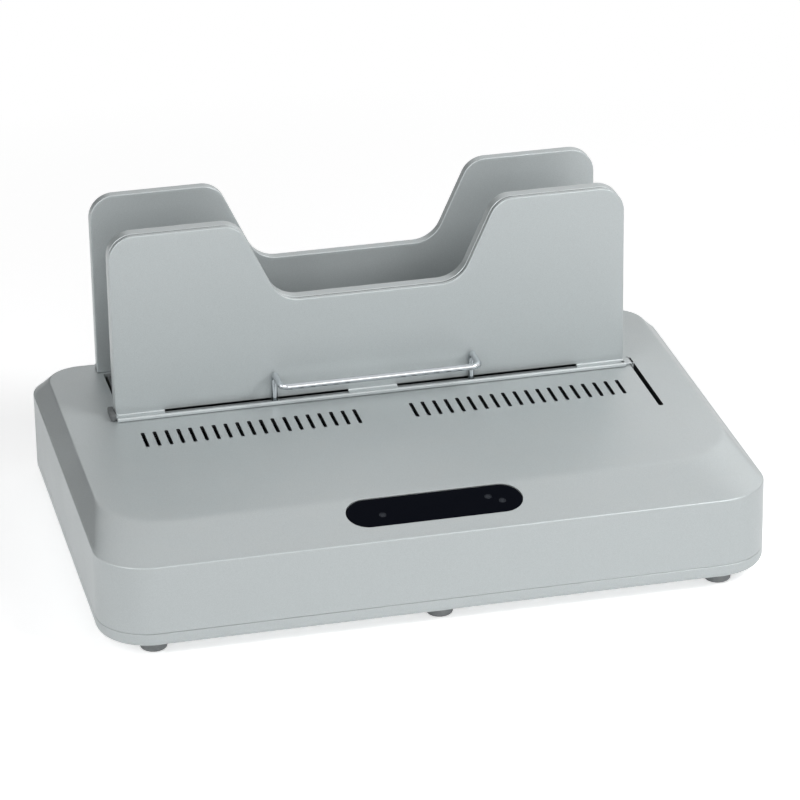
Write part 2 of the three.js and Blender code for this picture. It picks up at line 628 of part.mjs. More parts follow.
// A curve through points that are taken one after another, not by length.
class BentWire extends THREE.Curve {
  constructor(points) {
    super();
    this.points = points;
  }

  getPoint(t, target = new THREE.Vector3()) {
    const place = t * (this.points.length - 1);
    const i = Math.min(Math.floor(place), this.points.length - 2);
    return target.lerpVectors(this.points[i], this.points[i + 1], place - i);
  }

  getUtoTmapping(u) {
    return u;
  }

  getTangent(t, target = new THREE.Vector3()) {
    const last = this.points.length - 1;
    const i = Math.round(t * last);
    return target.subVectors(this.points[Math.min(i + 1, last)], this.points[Math.max(i - 1, 0)]).normalize();
  }
}

function makeWireHandle() {
  const { radius, legX, bendRadius, height, reach, footDrop } = handle;
  const legY = frontFace - radius - seatGap;
  const [barY, barZ, endZ] = [frontFace - reach, supportBase + height, supportBase + footDrop];
  const corners = [[-legX, legY, endZ], [-legX, legY, barZ], [-legX, barY, barZ],
    [legX, barY, barZ], [legX, legY, barZ], [legX, legY, endZ]]
    .map(point => new THREE.Vector3(...point));
  const points = [corners[0]];
  for (let i = 1; i + 1 < corners.length; i += 1) {
    const back = corners[i - 1].clone().sub(corners[i]).normalize();
    const ahead = corners[i + 1].clone().sub(corners[i]).normalize();
    const centre = corners[i].clone().addScaledVector(back, bendRadius).addScaledVector(ahead, bendRadius);
    for (let k = 0; k <= arcSteps; k += 1) {
      const angle = (Math.PI / 2) * (k / arcSteps);
      points.push(centre.clone().addScaledVector(ahead, -bendRadius * Math.cos(angle))
        .addScaledVector(back, -bendRadius * Math.sin(angle)));
    }
  }
  points.push(corners[corners.length - 1]);
  const ring = new THREE.Shape(circle(0, 0, radius, smallSides).map(([a, b]) => new THREE.Vector2(a, b)));
  const path = new BentWire(points);
  const options = { steps: points.length - 1, extrudePath: path, bevelEnabled: false };
  return solid(new THREE.ExtrudeGeometry(ring, options));
}

function makeGlideShoe() {
  const { width, length, height, wall } = shoe;
  const x1 = -support.width / 2 - seatGap;
  const outer = span([x1 - width - wall, x1], [shoeFront, shoeFront + length],
    [supportBase, supportBase + height]);
  const gap = seatGap;
  const pocket = span([-support.width / 2 - width - gap, x1 + overrun],
    [shoeFront + wall - gap, frontFace + frontSupport.faceDepth + gap],
    [supportBase + wall - gap, supportBase + wall + support.skin + gap]);
  return build([outer], [pocket]);
}

function makeSlideCarriage() {
  const middle = tongueFront + tongue.length / 2;
  const { width, length, topDrop, bottomDrop } = carriage;
  const top = plateau - topDrop;
  const body = span(centred(slotX, width), centred(middle, length), [plateau - bottomDrop, top]);
  const fit = 2 * seatGap;
  const slot = span(centred(slotX, tongue.thickness + fit), centred(middle, tongue.length + fit),
    [plateau - tongue.drop - seatGap, top + overrun]);
  const bore = sweep('y', circle(slotX, rodZ, rodBore), middle - length, middle + length);
  return build([body], [slot, bore]);
}

function makeGuideRod() {
  const [near, far] = rodBracketPlaces();
  return sweep('y', circle(slotX, rodZ, guideRod.radius), near, far + guideRod.bracket);
}

// Heater parts share these levels.
const plateTop = plateau - plate.sink;
const plateBottom = plateTop - plate.thickness;
const elementTop = plateBottom - seatGap;
const elementBottom = elementTop - element.thickness;
const trayFloor = trayBottom + tray.wall;
const wellMiddle = (wellFront + wellRear) / 2;
const wellWidth = wellRear - wellFront;
const elementWidth = wellWidth - 2 * element.sideMargin;
const plateLength = wellLength - 2 * plate.edgeGap;
const plateWidth = wellWidth - 2 * plate.edgeGap;

function makeHeatingPlate() {
  return span(centred(0, plateLength), centred(wellMiddle, plateWidth), [plateBottom, plateTop]);
}

function makeHeaterElement() {
  const body = span(centred(0, elementLength), centred(wellMiddle, elementWidth),
    [elementBottom, elementTop]);
  const notches = [-1, 1].map(side => span(centred(side * elementLength / 2, elementWidth / 4),
    centred(wellMiddle, elementWidth / 4), [elementBottom - overrun, elementTop + overrun]));
  return build([body], notches);
}

function makeInsulationPad() {
  return span(centred(0, elementLength), centred(wellMiddle, elementWidth + tray.overhang),
    [trayFloor + seatGap, elementBottom - seatGap]);
}

function makeInsulatorBlock(side) {
  const far = plateLength / 2 - block.inset;
  const x = mirrored(side, far - block.length, far);
  return span(x, centred(wellMiddle, wellWidth - 2 * block.sideMargin), [trayFloor + seatGap, elementTop]);
}

function makeHeaterTray() {
  const long = wellLength + 2 * seatGap;
  const wide = wellWidth + 2 * tray.overhang;
  const top = ceiling - seatGap;
  const outer = span(centred(0, long + 2 * tray.wall), centred(wellMiddle, wide + 2 * tray.wall),
    [trayBottom, top]);
  const inner = span(centred(0, long), centred(wellMiddle, wide), [trayFloor, top + overrun]);
  return build([outer], [inner]);
}

function makeThermostat() {
  const { radius, capHeight, baseRadius, baseHeight, pinLength } = thermostat;
  const x = thermostatX;
  const capBottom = elementTop - capHeight;
  const baseBottom = capBottom - baseHeight;
  const cap = roundBar(x, wellMiddle, radius, [capBottom, elementTop], roundSides);
  const base = roundBar(x, wellMiddle, baseRadius, [baseBottom, capBottom + root], roundSides);
  const pinZ = [baseBottom - pinLength, baseBottom + root];
  const pins = [-1, 1].map(side =>
    span(centred(x, baseRadius), centred(wellMiddle + side * baseRadius / 2, baseRadius / 6), pinZ));
  return build([cap, base, ...pins]);
}

function makeThermalFuse() {
  const { radius, length, capRadius, capLength } = fuse;
  const z = elementTop - radius;
  const x = -thermostatX;
  const body = sweep('y', circle(x, z, radius, smallSides), wellMiddle - length / 2, wellMiddle + length / 2);
  const leads = sweep('y', circle(x, z, capRadius, smallSides), wellMiddle - length / 2 - capLength,
    wellMiddle + length / 2 + capLength);
  return build([body, leads]);
}

function makeControlWindow() {
  const { length, width, sink, lipWidth, lipTop, lip } = windowLens;
  const fit = 2 * seatGap;
  const lens = sweep('z', stadium(length - fit, width - fit), -lipTop - root, -sink);
  const rim = sweep('z', stadium(length + lipWidth, width + lipWidth), -lipTop - lip, -lipTop);
  return build([lens, rim]);
}

function makeControlBoard() {
  const { width, thickness, top } = controlBoard;
  const outline = roundedRectangle(0, 0, controlBoardLength, width, thickness);
  const body = sweep('z', outline, -top - thickness, -top);
  const holes = [-1, 1].map(side => roundBar(side * controlPostX, 0, boardScrew.shank + seatGap,
    [-top - thickness - overrun, -top + overrun]));
  return build([body], holes);
}

function ledGeometry() {
  const { radius, rimRadius, rim } = led;
  const height = controlBoard.top - windowLens.lipTop - windowLens.lip - 2 * seatGap;
  const dome = arc(0, height - radius, radius, 0, 90).map(([r, z]) => [Math.max(r, 0), z]);
  dome[dome.length - 1][0] = 0;
  const profile = [[0, 0], [rimRadius, 0], [rimRadius, rim], [radius, rim], ...dome];
  return lathe(profile, screwSides);
}

function makeMainBoard() {
  const { length, width, thickness, pin } = mainBoard;
  const z = boardZ;
  const body = span([boardX, boardX + length], [boardY, boardY + width], [z, z + thickness]);
  const holes = boardPostPlaces().map(([a, b]) =>
    roundBar(a, b, pin + seatGap, [z - overrun, z + thickness + overrun]));
  return build([body], holes);
}

// The point on top of the main board where a part stands.
function onBoard(name) {
  const [u, v] = boardPlaceShares[name];
  const z = boardZ + mainBoard.thickness + seatGap;
  return [boardX + u * mainBoard.length, boardY + v * mainBoard.width, z];
}

function makeTransformer() {
  const [x, y, z] = onBoard('transformer');
  const { length, width, height, coilLength, coilWidth, coilHeight } = transformer;
  const core = span(centred(x, length), centred(y, width), [z, z + height]);
  const low = z + (height - coilHeight) / 2;
  const coil = span(centred(x, coilLength), centred(y, coilWidth), [low, low + coilHeight]);
  return build([core, coil]);
}

function makeRelay() {
  const [x, y, z] = onBoard('relay');
  return span(centred(x, relay.length), centred(y, relay.width), [z, z + relay.height]);
}

function makeBuzzer() {
  const [x, y, z] = onBoard('buzzer');
  const { radius, height, hole, holeDepth } = buzzer;
  const can = roundBar(x, y, radius, [z, z + height], roundSides);
  return build([can], [roundBar(x, y, hole, [z + height - holeDepth, z + height + overrun])]);
}

function makeCapacitor() {
  const [x, y, z] = onBoard('capacitor');
  const { radius, height, crown } = capacitor;
  const can = roundBar(x, y, radius, [z, z + height - crown], roundSides);
  const top = roundBar(x, y, radius - crown, [z + height - crown - root, z + height], roundSides);
  return build([can, top]);
}

// Power corner: a recessed bezel in the rear wall holds the inlet and switch.
const bezelRim = rearWall - seatGap;
const bezelFloor = bezelRim - bezel.recess;
const partSeat = bezelFloor + seatGap;

function makePowerBezel() {
  const { length, height, wall, floor, lipWidth, lip } = bezel;
  const [x, z] = [bezelX, bezelZ];
  const fit = 2 * seatGap;
  const tub = span(centred(x, length - fit), [bezelFloor - floor, bezelRim], centred(z, height - fit));
  const hollow = span(centred(x, length - fit - 2 * wall), [bezelFloor, bezelRim + overrun],
    centred(z, height - fit - 2 * wall));
  const lipRear = innerRearWall - seatGap;
  const rim = span(centred(x, length + 2 * lipWidth), [lipRear - lip, lipRear],
    centred(z, height + 2 * lipWidth));
  const holes = [inlet, powerSwitch].map(part => span(centred(x + part.offset, part.bodyLength + fit),
    [bezelFloor - floor - overrun, bezelFloor + overrun], centred(z, part.bodyHeight + fit)));
  return build([tub, rim], [hollow, ...holes]);
}

function makePowerInlet() {
  const { bodyLength, bodyHeight, depth, flangeLength, flangeHeight, flange } = inlet;
  const { pocketLength, pocketHeight, pocketDepth, pocketChamfer } = inlet;
  const { pinWidth, pinHeight, pinLength, pinSpread, pinDrop, earthRise } = inlet;
  const [x, z] = [bezelX + inlet.offset, bezelZ];
  const face = partSeat + flange;
  const body = span(centred(x, bodyLength), [face - depth, face], centred(z, bodyHeight));
  const plateBody = span(centred(x, flangeLength), [partSeat, face], centred(z, flangeHeight));
  const [u, v] = [pocketLength / 2, pocketHeight / 2];
  const cornerZ = z + v - pocketChamfer;
  const outline = [[x - u, z - v], [x + u, z - v], [x + u, cornerZ], [x + u - pocketChamfer, z + v],
    [x - u + pocketChamfer, z + v], [x - u, cornerZ]];
  const pocket = sweep('y', outline, face - pocketDepth, face + overrun);
  const hollowed = build([body, plateBody], [pocket]);
  const pocketFloor = face - pocketDepth;
  const pin = (a, b) => span(centred(a, pinWidth), [pocketFloor - root, pocketFloor + pinLength],
    centred(b, pinHeight));
  const pins = [pin(x - pinSpread, z - pinDrop), pin(x + pinSpread, z - pinDrop), pin(x, z + earthRise)];
  return build([hollowed, ...pins]);
}

const switchFace = partSeat + powerSwitch.flange;
const rockerPivot = switchFace - rocker.pivotSink;

function makePowerSwitch() {
  const { bodyLength, bodyHeight, depth, flangeLength, flangeHeight } = powerSwitch;
  const { cavityLength, cavityHeight, cavityDepth } = powerSwitch;
  const [x, z] = [bezelX + powerSwitch.offset, bezelZ];
  const body = span(centred(x, bodyLength), [switchFace - depth, switchFace], centred(z, bodyHeight));
  const flange = span(centred(x, flangeLength), [partSeat, switchFace], centred(z, flangeHeight));
  const cavity = span(centred(x, cavityLength), [switchFace - cavityDepth, switchFace + overrun],
    centred(z, cavityHeight));
  const reach = rocker.length / 2 + rocker.pinReach + seatGap;
  const hole = circle(rockerPivot, z, rocker.pinRadius + seatGap, smallSides);
  const pinHole = sweep('x', hole, x - reach, x + reach);
  return build([body, flange], [cavity, pinHole]);
}

function makePowerRocker() {
  const { length, height, endRise, middleRise, keel, keelHeight } = rocker;
  const { shoulder, pinRadius, pinReach, tilt } = rocker;
  const [end, low] = [height / 2, keelHeight / 2];
  const profile = [[endRise, -end], [middleRise, 0], [endRise, end], [shoulder, end],
    [-keel, low], [-keel, -low], [shoulder, -end]];
  const body = sweep('x', profile.reverse(), -length / 2, length / 2);
  const pin = sweep('x', circle(0, 0, pinRadius, smallSides), -length / 2 - pinReach, length / 2 + pinReach);
  const turned = geometryOf(build([body, pin])).rotateX(THREE.MathUtils.degToRad(-tilt));
  return turned.translate(bezelX + powerSwitch.offset, rockerPivot, bezelZ);
}

// The whole machine.
const machine = new THREE.Group();
machine.name = 'thermal_binding_machine';

const housingGroup = new THREE.Group();
housingGroup.add(named('top_cover', makeTopCover(), casing), named('base_pan', makeBasePan(), casing));
const footNames = ['front_left', 'front_middle', 'front_right', 'rear_left', 'rear_middle', 'rear_right'];
footPlaces().forEach(([x, y], i) => {
  const mesh = named(`foot_${footNames[i]}`, footGeometry(), rubber);
  mesh.position.set(x, y, 0);
  housingGroup.add(mesh);
});
screwPlaces.forEach(([x, y], i) => {
  const mesh = named(`housing_screw_${i + 1}`, screwGeometry(housingScrew), steel);
  mesh.position.set(x, y, screwSeat);
  housingGroup.add(mesh);
});

const rearGroup = new THREE.Group();
rearGroup.add(named('rear_support', makeRearSupport(), paint));
supportScrewPlaces.forEach(([x, y], i) => {
  const mesh = named(`support_screw_${i + 1}`, screwGeometry(supportScrew), steel);
  mesh.rotation.x = Math.PI;
  mesh.position.set(x, y, rearFlangeTop + seatGap);
  rearGroup.add(mesh);
});

const slidingGroup = new THREE.Group();
slidingGroup.add(
  named('front_support', makeFrontSupport(), paint),
  named('front_support_back', makeFrontSupportBack(), paint),
  named('wire_handle', makeWireHandle(), chrome),
  named('glide_shoe', makeGlideShoe(), greyPlastic),
  named('slide_carriage', makeSlideCarriage(), greyPlastic),
);

const heaterGroup = new THREE.Group();
heaterGroup.add(
  named('heating_plate', makeHeatingPlate(), aluminium),
  named('heater_element', makeHeaterElement(), mica),
  named('insulation_pad', makeInsulationPad(), mica),
  named('insulator_block_left', makeInsulatorBlock(-1), mica),
  named('insulator_block_right', makeInsulatorBlock(1), mica),
  named('heater_tray', makeHeaterTray(), steel),
  named('thermostat', makeThermostat(), blackPlastic),
  named('thermal_fuse', makeThermalFuse(), steel),
);

const controlGroup = new THREE.Group();
controlGroup.applyMatrix4(windowFrame);
controlGroup.add(named('control_window', makeControlWindow(), blackGloss));
controlGroup.add(named('control_board', makeControlBoard(), board));
for (const [name, [u, v]] of Object.entries(ledShares)) {
  const mesh = named(name, ledGeometry(), lamp);
  mesh.position.set(u * windowLens.length / 2, v * windowLens.width / 2, -controlBoard.top + seatGap);
  controlGroup.add(mesh);
}
['left', 'right'].forEach((name, i) => {
  const mesh = named(`board_screw_${name}`, screwGeometry(boardScrew), steel);
  mesh.position.set((2 * i - 1) * controlPostX, 0, -controlBoard.top - controlBoard.thickness - seatGap);
  controlGroup.add(mesh);
});

const electricsGroup = new THREE.Group();
electricsGroup.add(
  named('main_board', makeMainBoard(), board),
  named('transformer', makeTransformer(), steel),
  named('relay', makeRelay(), blackPlastic),
  named('buzzer', makeBuzzer(), blackPlastic),
  named('capacitor', makeCapacitor(), blackPlastic),
  named('power_bezel', makePowerBezel(), blackPlastic),
  named('power_inlet', makePowerInlet(), blackPlastic),
  named('power_switch', makePowerSwitch(), blackPlastic),
  named('power_rocker', makePowerRocker(), blackPlastic),
);

machine.add(housingGroup, rearGroup, slidingGroup, named('guide_rod', makeGuideRod(), steel), heaterGroup,
  controlGroup, electricsGroup);

export default machine;
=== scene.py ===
# %% [markdown]
# # A thermal binding machine
# The machine binds papers with heat. A cover has a strip of dry glue in its spine. It stands spine
# down on a hot plate between two upright supports, and the glue melts onto the edges of the pages.
#
# This lesson puts the looks on a machine that is already built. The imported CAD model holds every
# size and every joint, so it is loaded first as a frame. Each piece below is made in that frame.

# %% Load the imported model
import math

import bmesh
import bpy
import numpy as np
from mathutils import Matrix, Vector


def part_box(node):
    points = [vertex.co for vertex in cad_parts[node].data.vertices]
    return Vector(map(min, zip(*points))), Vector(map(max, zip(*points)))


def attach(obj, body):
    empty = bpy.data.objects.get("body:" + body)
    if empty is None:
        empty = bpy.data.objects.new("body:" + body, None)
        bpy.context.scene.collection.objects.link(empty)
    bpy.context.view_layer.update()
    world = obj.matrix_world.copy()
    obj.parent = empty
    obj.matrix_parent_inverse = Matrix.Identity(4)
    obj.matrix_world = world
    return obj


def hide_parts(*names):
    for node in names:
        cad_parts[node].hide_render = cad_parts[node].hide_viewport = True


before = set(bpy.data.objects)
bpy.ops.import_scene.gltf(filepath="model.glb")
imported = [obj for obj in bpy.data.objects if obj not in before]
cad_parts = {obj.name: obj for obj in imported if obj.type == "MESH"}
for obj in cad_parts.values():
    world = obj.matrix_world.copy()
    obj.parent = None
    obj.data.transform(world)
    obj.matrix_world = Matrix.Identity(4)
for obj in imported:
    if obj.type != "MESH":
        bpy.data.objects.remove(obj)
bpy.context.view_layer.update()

# %% [markdown]
# ## Shapes from arrays
# Moulded shells, pressed sheet and bent wire have one thing in common: a short line that is moved
# along another. Each shape below is that line, written as rows of points in one array. Faces join
# each row to the next, and a flat face closes each end, so that every shape is a closed solid.
# Values are in millimetres, as on the drawing, and become metres when the object is made.

# %% Rows of points to closed shapes
MM = 0.001


def loft(rows):
    """Joins rows[k] to rows[k + 1], each a closed ring of points, and caps the first and last."""
    rows = np.asarray(rows, dtype=float)
    count, size = rows.shape[:2]
    start = np.arange(count - 1)[:, None] * size
    here = np.arange(size)[None, :]
    after = (here + 1) % size
    quads = np.stack([start + here, start + after, start + size + after, start + size + here], -1)
    ends = [list(range(size))[::-1], list(range((count - 1) * size, count * size))]
    return rows.reshape(-1, 3), quads.reshape(-1, 4).tolist() + ends


def joined(*shapes):
    """Several shapes as one, their points one after another."""
    offsets = np.cumsum([0] + [len(points) for points, _ in shapes])
    faces = [[i + int(offset) for i in face]
             for (_, own), offset in zip(shapes, offsets) for face in own]
    return np.concatenate([points for points, _ in shapes]), faces


def copies(shape, places):
    """The same shape at each place: points + place."""
    points, faces = shape
    return joined(*[(points + np.asarray(place), faces) for place in places])


def rounded_rings(x, y, z, radii, steps=12):
    """One ring per value of z: centre + r (cos t, sin t) over four quarter turns.
    x and y are (low, high), and radii (front, rear). Each may be one value or one per ring."""
    z, x0, x1, y0, y1, front, rear = np.broadcast_arrays(
        *[np.atleast_1d(np.asarray(v, dtype=float)) for v in (z, *x, *y, *radii)])
    r = np.stack([rear, rear, front, front], -1)[..., None]
    centre_x = np.stack([x1 - rear, x0 + rear, x0 + front, x1 - front], -1)[..., None]
    centre_y = np.stack([y1 - rear, y1 - rear, y0 + front, y0 + front], -1)[..., None]
    quarter = np.radians(np.linspace(0, 90, steps + 1))[None, :]
    t = quarter + np.radians([0, 90, 180, 270])[:, None]
    rings = np.stack([centre_x + r * np.cos(t), centre_y + r * np.sin(t),
                      np.broadcast_to(z[:, None, None], (len(z), *t.shape))], -1)
    return rings.reshape(len(z), -1, 3)


def rounding(radius, steps=6):
    """A quarter round as (inset, drop) pairs: r (1 - cos t), r (1 - sin t), from side to top."""
    t = np.radians(np.linspace(0, 90, steps + 1))
    return radius * (1 - np.cos(t)), radius * (1 - np.sin(t))


def slab(x, y, z, corner, edge):
    """A block with round corners seen from above, and round top and bottom edges."""
    inset, drop = rounding(edge, 4)
    inset = np.concatenate([inset[::-1], inset])
    level = np.concatenate([z[0] + drop[::-1], z[1] - drop])
    radius = np.maximum(corner - inset, 0.05)
    return loft(rounded_rings((x[0] + inset, x[1] - inset), (y[0] + inset, y[1] - inset), level,
                              (radius, radius), 4))


def lathe(profile, sides=48):
    """(r cos t, r sin t, z) for the profile's (r, z) points, with t round the axis."""
    r, z = np.asarray(profile, dtype=float).T
    t = np.linspace(0, 2 * np.pi, sides, endpoint=False)
    rows = [np.outer(r, np.cos(t)), np.outer(r, np.sin(t)), np.outer(z, np.ones(sides))]
    return loft(np.stack(rows, -1))


print("helpers: loft, joined, copies, rounded_rings, rounding, slab, lathe")

# %% [markdown]
# A shape becomes an object in two steps. First it is a raw solid in its finish, which may be cut:
# a vent in the real cover is a place where the mould has steel, so the plastic simply isn't there,
# and a Boolean cut is the same idea. Then it gets smooth shading and its body, and hides its nodes.

# %% Solids, cuts and pieces
def solid(name, shape, slot=None):
    """An object from a shape in millimetres, its faces turned outward, in a slot's finish."""
    points, faces = shape
    mesh = bpy.data.meshes.new(name)
    mesh.from_pydata((points * MM).tolist(), [], faces)
    work = bmesh.new()
    work.from_mesh(mesh)
    bmesh.ops.recalc_face_normals(work, faces=work.faces)
    work.to_mesh(mesh)
    work.free()
    if slot:
        mesh.materials.append(finishes[slot])
    obj = bpy.data.objects.new(name, mesh)
    bpy.context.scene.collection.objects.link(obj)
    return obj


def cut(obj, shape, wall_shade_finish=None):
    """Takes a shape's volume out of an object. Its walls may get another finish: painted shade in
    slots.
    """
    tool = solid("tool", shape, wall_shade_finish)
    modifier = obj.modifiers.new("cut", "BOOLEAN")
    modifier.solver = "EXACT"
    modifier.material_mode = "TRANSFER" if wall_shade_finish else "INDEX"
    modifier.operation = "DIFFERENCE"
    modifier.object = tool
    whole = obj.evaluated_get(bpy.context.evaluated_depsgraph_get())
    mesh = bpy.data.meshes.new_from_object(whole)
    obj.modifiers.clear()
    obj.data = mesh
    bpy.data.objects.remove(tool)


def piece(obj, body, slot, *nodes, sharp=30):
    """Shades an object, hangs it on its body, hides the nodes it stands for and prints its slot."""
    obj.data.shade_smooth()
    obj.data.set_sharp_from_angle(angle=math.radians(sharp))
    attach(obj, body)
    if nodes:
        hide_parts(*nodes)
    print(f"{obj.name}: {len(obj.data.polygons)} faces, on {body}, in {slot}")


# %% [markdown]
# ## Finishes
# A finish is a few small effects laid over one plain colour. The effects are shared: the same
# fine grain that is orange peel on paint is spark texture on plastic and grip on rubber, only its
# size and depth change. Each effect is therefore one node group with its sizes in millimetres.
# A group gives back values, masks and normals, and the shader itself stays in the material.

# %% Node helpers
def put(tree, target, value):
    """Links a socket to an input, or sets the input's own value."""
    if isinstance(value, bpy.types.NodeSocket):
        tree.links.new(value, target)
    else:
        target.default_value = value


def add(tree, kind, values=None, **settings):
    """Adds a node with its settings, and fills its inputs by name or number."""
    node = tree.nodes.new(kind)
    for key, value in settings.items():
        setattr(node, key, value)
    for key, value in (values or {}).items():
        put(tree, node.inputs[key], value)
    return node


def calculate(tree, operation, a, b):
    """One arithmetic step on two values."""
    return add(tree, "ShaderNodeMath", {0: a, 1: b}, operation=operation).outputs[0]


def mixed(tree, factor, a, b):
    """Colour a where factor is 0, colour b where it is 1."""
    return add(tree, "ShaderNodeMix", {0: factor, 6: a, 7: b}, data_type="RGBA").outputs[2]


def ranged(tree, value, low, high, source=(0.0, 1.0)):
    """A value moved from its source range to low..high."""
    limits = {"From Min": source[0], "From Max": source[1], "To Min": low, "To Max": high}
    return add(tree, "ShaderNodeMapRange", {"Value": value, **limits}).outputs["Result"]


def effect_group(name, inputs, outputs):
    """An empty node group with its sockets. Inputs are floats with a default, or vectors."""
    tree = bpy.data.node_groups.new(name, "ShaderNodeTree")
    for label, default in inputs.items():
        kind = "NodeSocketVector" if isinstance(default, tuple) else "NodeSocketFloat"
        tree.interface.new_socket(label, in_out="INPUT", socket_type=kind).default_value = default
    for label, kind in outputs.items():
        tree.interface.new_socket(label, in_out="OUTPUT", socket_type="NodeSocket" + kind)
    return tree, tree.nodes.new("NodeGroupInput").outputs, tree.nodes.new("NodeGroupOutput").inputs


def use(tree, group, **values):
    """Puts a node group in a material and fills its inputs."""
    node = add(tree, "ShaderNodeGroup", node_tree=group)
    for key, value in values.items():
        put(tree, node.inputs[key], value)
    return node.outputs


def object_coordinates(tree):
    """Places on the piece, in metres in the machine's own frame."""
    return add(tree, "ShaderNodeTexCoord").outputs["Object"]


def emptied(owner):
    """The node tree of a new material or world, with nothing in it yet."""
    owner.use_nodes = True
    owner.node_tree.nodes.clear()
    return owner.node_tree


print("helpers: put, add, calculate, mixed, ranged, effect_group, use, object_coordinates, emptied")

# %% [markdown]
# Five effects are enough for every finish here. Grain and brushing bend the surface's normal,
# mottle and flakes change a value from place to place, and dust is a mask. Their noise is laid in
# the piece's own coordinates, so it stays on a piece that moves.

# %% Shared effects
# Grain: small round hills of one size. Height feeds colours, Normal feeds the shader.
grain, inputs, outputs = effect_group(
    "grain", {"Cell": 1.0, "Depth": 0.01}, {"Height": "Float", "Normal": "Vector"})
scale = calculate(grain, "DIVIDE", 1000.0, inputs["Cell"])
hills = add(grain, "ShaderNodeTexNoise",
            {"Vector": object_coordinates(grain), "Scale": scale, "Detail": 2.0})
depth = calculate(grain, "MULTIPLY", inputs["Depth"], MM)
bump = add(grain, "ShaderNodeBump", {"Height": hills.outputs[0], "Distance": depth})
put(grain, outputs["Height"], hills.outputs[0])
put(grain, outputs["Normal"], bump.outputs[0])

# Mottle: slow, soft change over a surface, between two values.
mottle, inputs, outputs = effect_group(
    "mottle", {"Size": 40.0, "Low": 0.0, "High": 1.0}, {"Value": "Float"})
scale = calculate(mottle, "DIVIDE", 1000.0, inputs["Size"])
cloud = add(mottle, "ShaderNodeTexNoise",
            {"Vector": object_coordinates(mottle), "Scale": scale, "Detail": 4.0, "Roughness": 0.6})
spread = ranged(mottle, cloud.outputs[0], inputs["Low"], inputs["High"], (0.3, 0.7))
put(mottle, outputs["Value"], spread)

# Flakes: one random value in each small cell, like the metal flakes in silver paint.
flakes, inputs, outputs = effect_group("flakes", {"Size": 0.3}, {"Value": "Float"})
scale = calculate(flakes, "DIVIDE", 1000.0, inputs["Size"])
cells = add(flakes, "ShaderNodeTexVoronoi", {"Vector": object_coordinates(flakes), "Scale": scale})
grey = add(flakes, "ShaderNodeRGBToBW", {0: cells.outputs["Color"]})
put(flakes, outputs["Value"], grey.outputs[0])

# Dust: it lies where a surface looks up, in patches.
dust, inputs, outputs = effect_group("dust", {"Amount": 0.1}, {"Mask": "Float"})
facing = add(dust, "ShaderNodeNewGeometry").outputs["Normal"]
level_share = add(dust, "ShaderNodeSeparateXYZ", {0: facing}).outputs["Z"]
upward = ranged(dust, level_share, 0.0, 1.0, (0.4, 1.0))
patches = add(dust, "ShaderNodeTexNoise",
              {"Vector": object_coordinates(dust), "Scale": 60.0, "Detail": 8.0, "Roughness": 0.7})
patchy = ranged(dust, patches.outputs[0], 0.0, 1.0, (0.42, 0.75))
amount = calculate(dust, "MULTIPLY", upward, inputs["Amount"])
put(dust, outputs["Mask"], calculate(dust, "MULTIPLY", patchy, amount))

# Brushing: noise drawn out along one axis. Stretch says how far, per axis.
brushing, inputs, outputs = effect_group(
    "brushing", {"Stretch": (20.0, 2000.0, 2000.0), "Depth": 0.002},
    {"Value": "Float", "Normal": "Vector"})
drawn = add(brushing, "ShaderNodeVectorMath",
            {0: object_coordinates(brushing), 1: inputs["Stretch"]}, operation="MULTIPLY")
lines = add(brushing, "ShaderNodeTexNoise",
            {"Vector": drawn.outputs[0], "Scale": 1.0, "Detail": 3.0})
depth = calculate(brushing, "MULTIPLY", inputs["Depth"], MM)
bump = add(brushing, "ShaderNodeBump", {"Height": lines.outputs[0], "Distance": depth})
put(brushing, outputs["Value"], lines.outputs[0])
put(brushing, outputs["Normal"], bump.outputs[0])
print("effects: grain, mottle, flakes, dust, brushing")

# %% [markdown]
# ### Silver paint
# The cover and both supports are one silver grey in the photograph, with a satin shine. Such paint
# is fine metal flake under a thin clear layer. The orange peel of the plastic cover is coarser than
# that of the pressed sheet. A dark copy of it fills the groove in the sliding support as painted
# shade.

# %% Silver paint
finishes = {}


def linear(red, green, blue):
    """A screen colour of 0..255 as the linear colour that a shader takes."""
    value = np.array([red, green, blue]) / 255
    light = np.where(value > 0.04045, ((value + 0.055) / 1.055) ** 2.4, value / 12.92)
    return (*light.tolist(), 1.0)


def material(slot, **plain):
    """A material for a slot, with the shader's plain values set on its own sockets."""
    finishes[slot] = bpy.data.materials.new(slot)
    tree = emptied(finishes[slot])
    shader = add(tree, "ShaderNodeBsdfPrincipled")
    for key, value in plain.items():
        shader.inputs[key.replace("_", " ")].default_value = value
    add(tree, "ShaderNodeOutputMaterial", {"Surface": shader.outputs[0]})
    return tree, shader.inputs


def silver_paint(slot, colour, cell, depth, low, high):
    """Metallic paint: flake in the colour, orange peel in the normal, slow change in the shine."""
    tree, shader = material(slot, Metallic=0.35, IOR=1.5)
    flake = ranged(tree, use(tree, flakes, Size=0.22)["Value"], 0.90, 1.10)
    shade = add(tree, "ShaderNodeVectorMath", {0: colour[:3], 1: flake}, operation="MULTIPLY")
    cover = use(tree, dust, Amount=0.10)["Mask"]
    put(tree, shader["Base Color"], mixed(tree, cover, shade.outputs[0], linear(205, 203, 198)))
    shine = use(tree, mottle, Size=55.0, Low=low, High=high)["Value"]
    dull = calculate(tree, "MULTIPLY", cover, 0.6)
    put(tree, shader["Roughness"], calculate(tree, "ADD", shine, dull))
    put(tree, shader["Normal"], use(tree, grain, Cell=cell, Depth=depth)["Normal"])


silver_paint("casing", linear(181, 187, 188), 1.6, 0.006, 0.36, 0.44)
silver_paint("support_paint", linear(184, 190, 191), 0.9, 0.005, 0.38, 0.45)
# A dark copy of the support paint: painted shade for the groove between the two pressings.
silver_paint("groove_painted_shade", linear(62, 65, 66), 0.9, 0.005, 0.42, 0.50)
print("silver paint:", sorted(finishes))

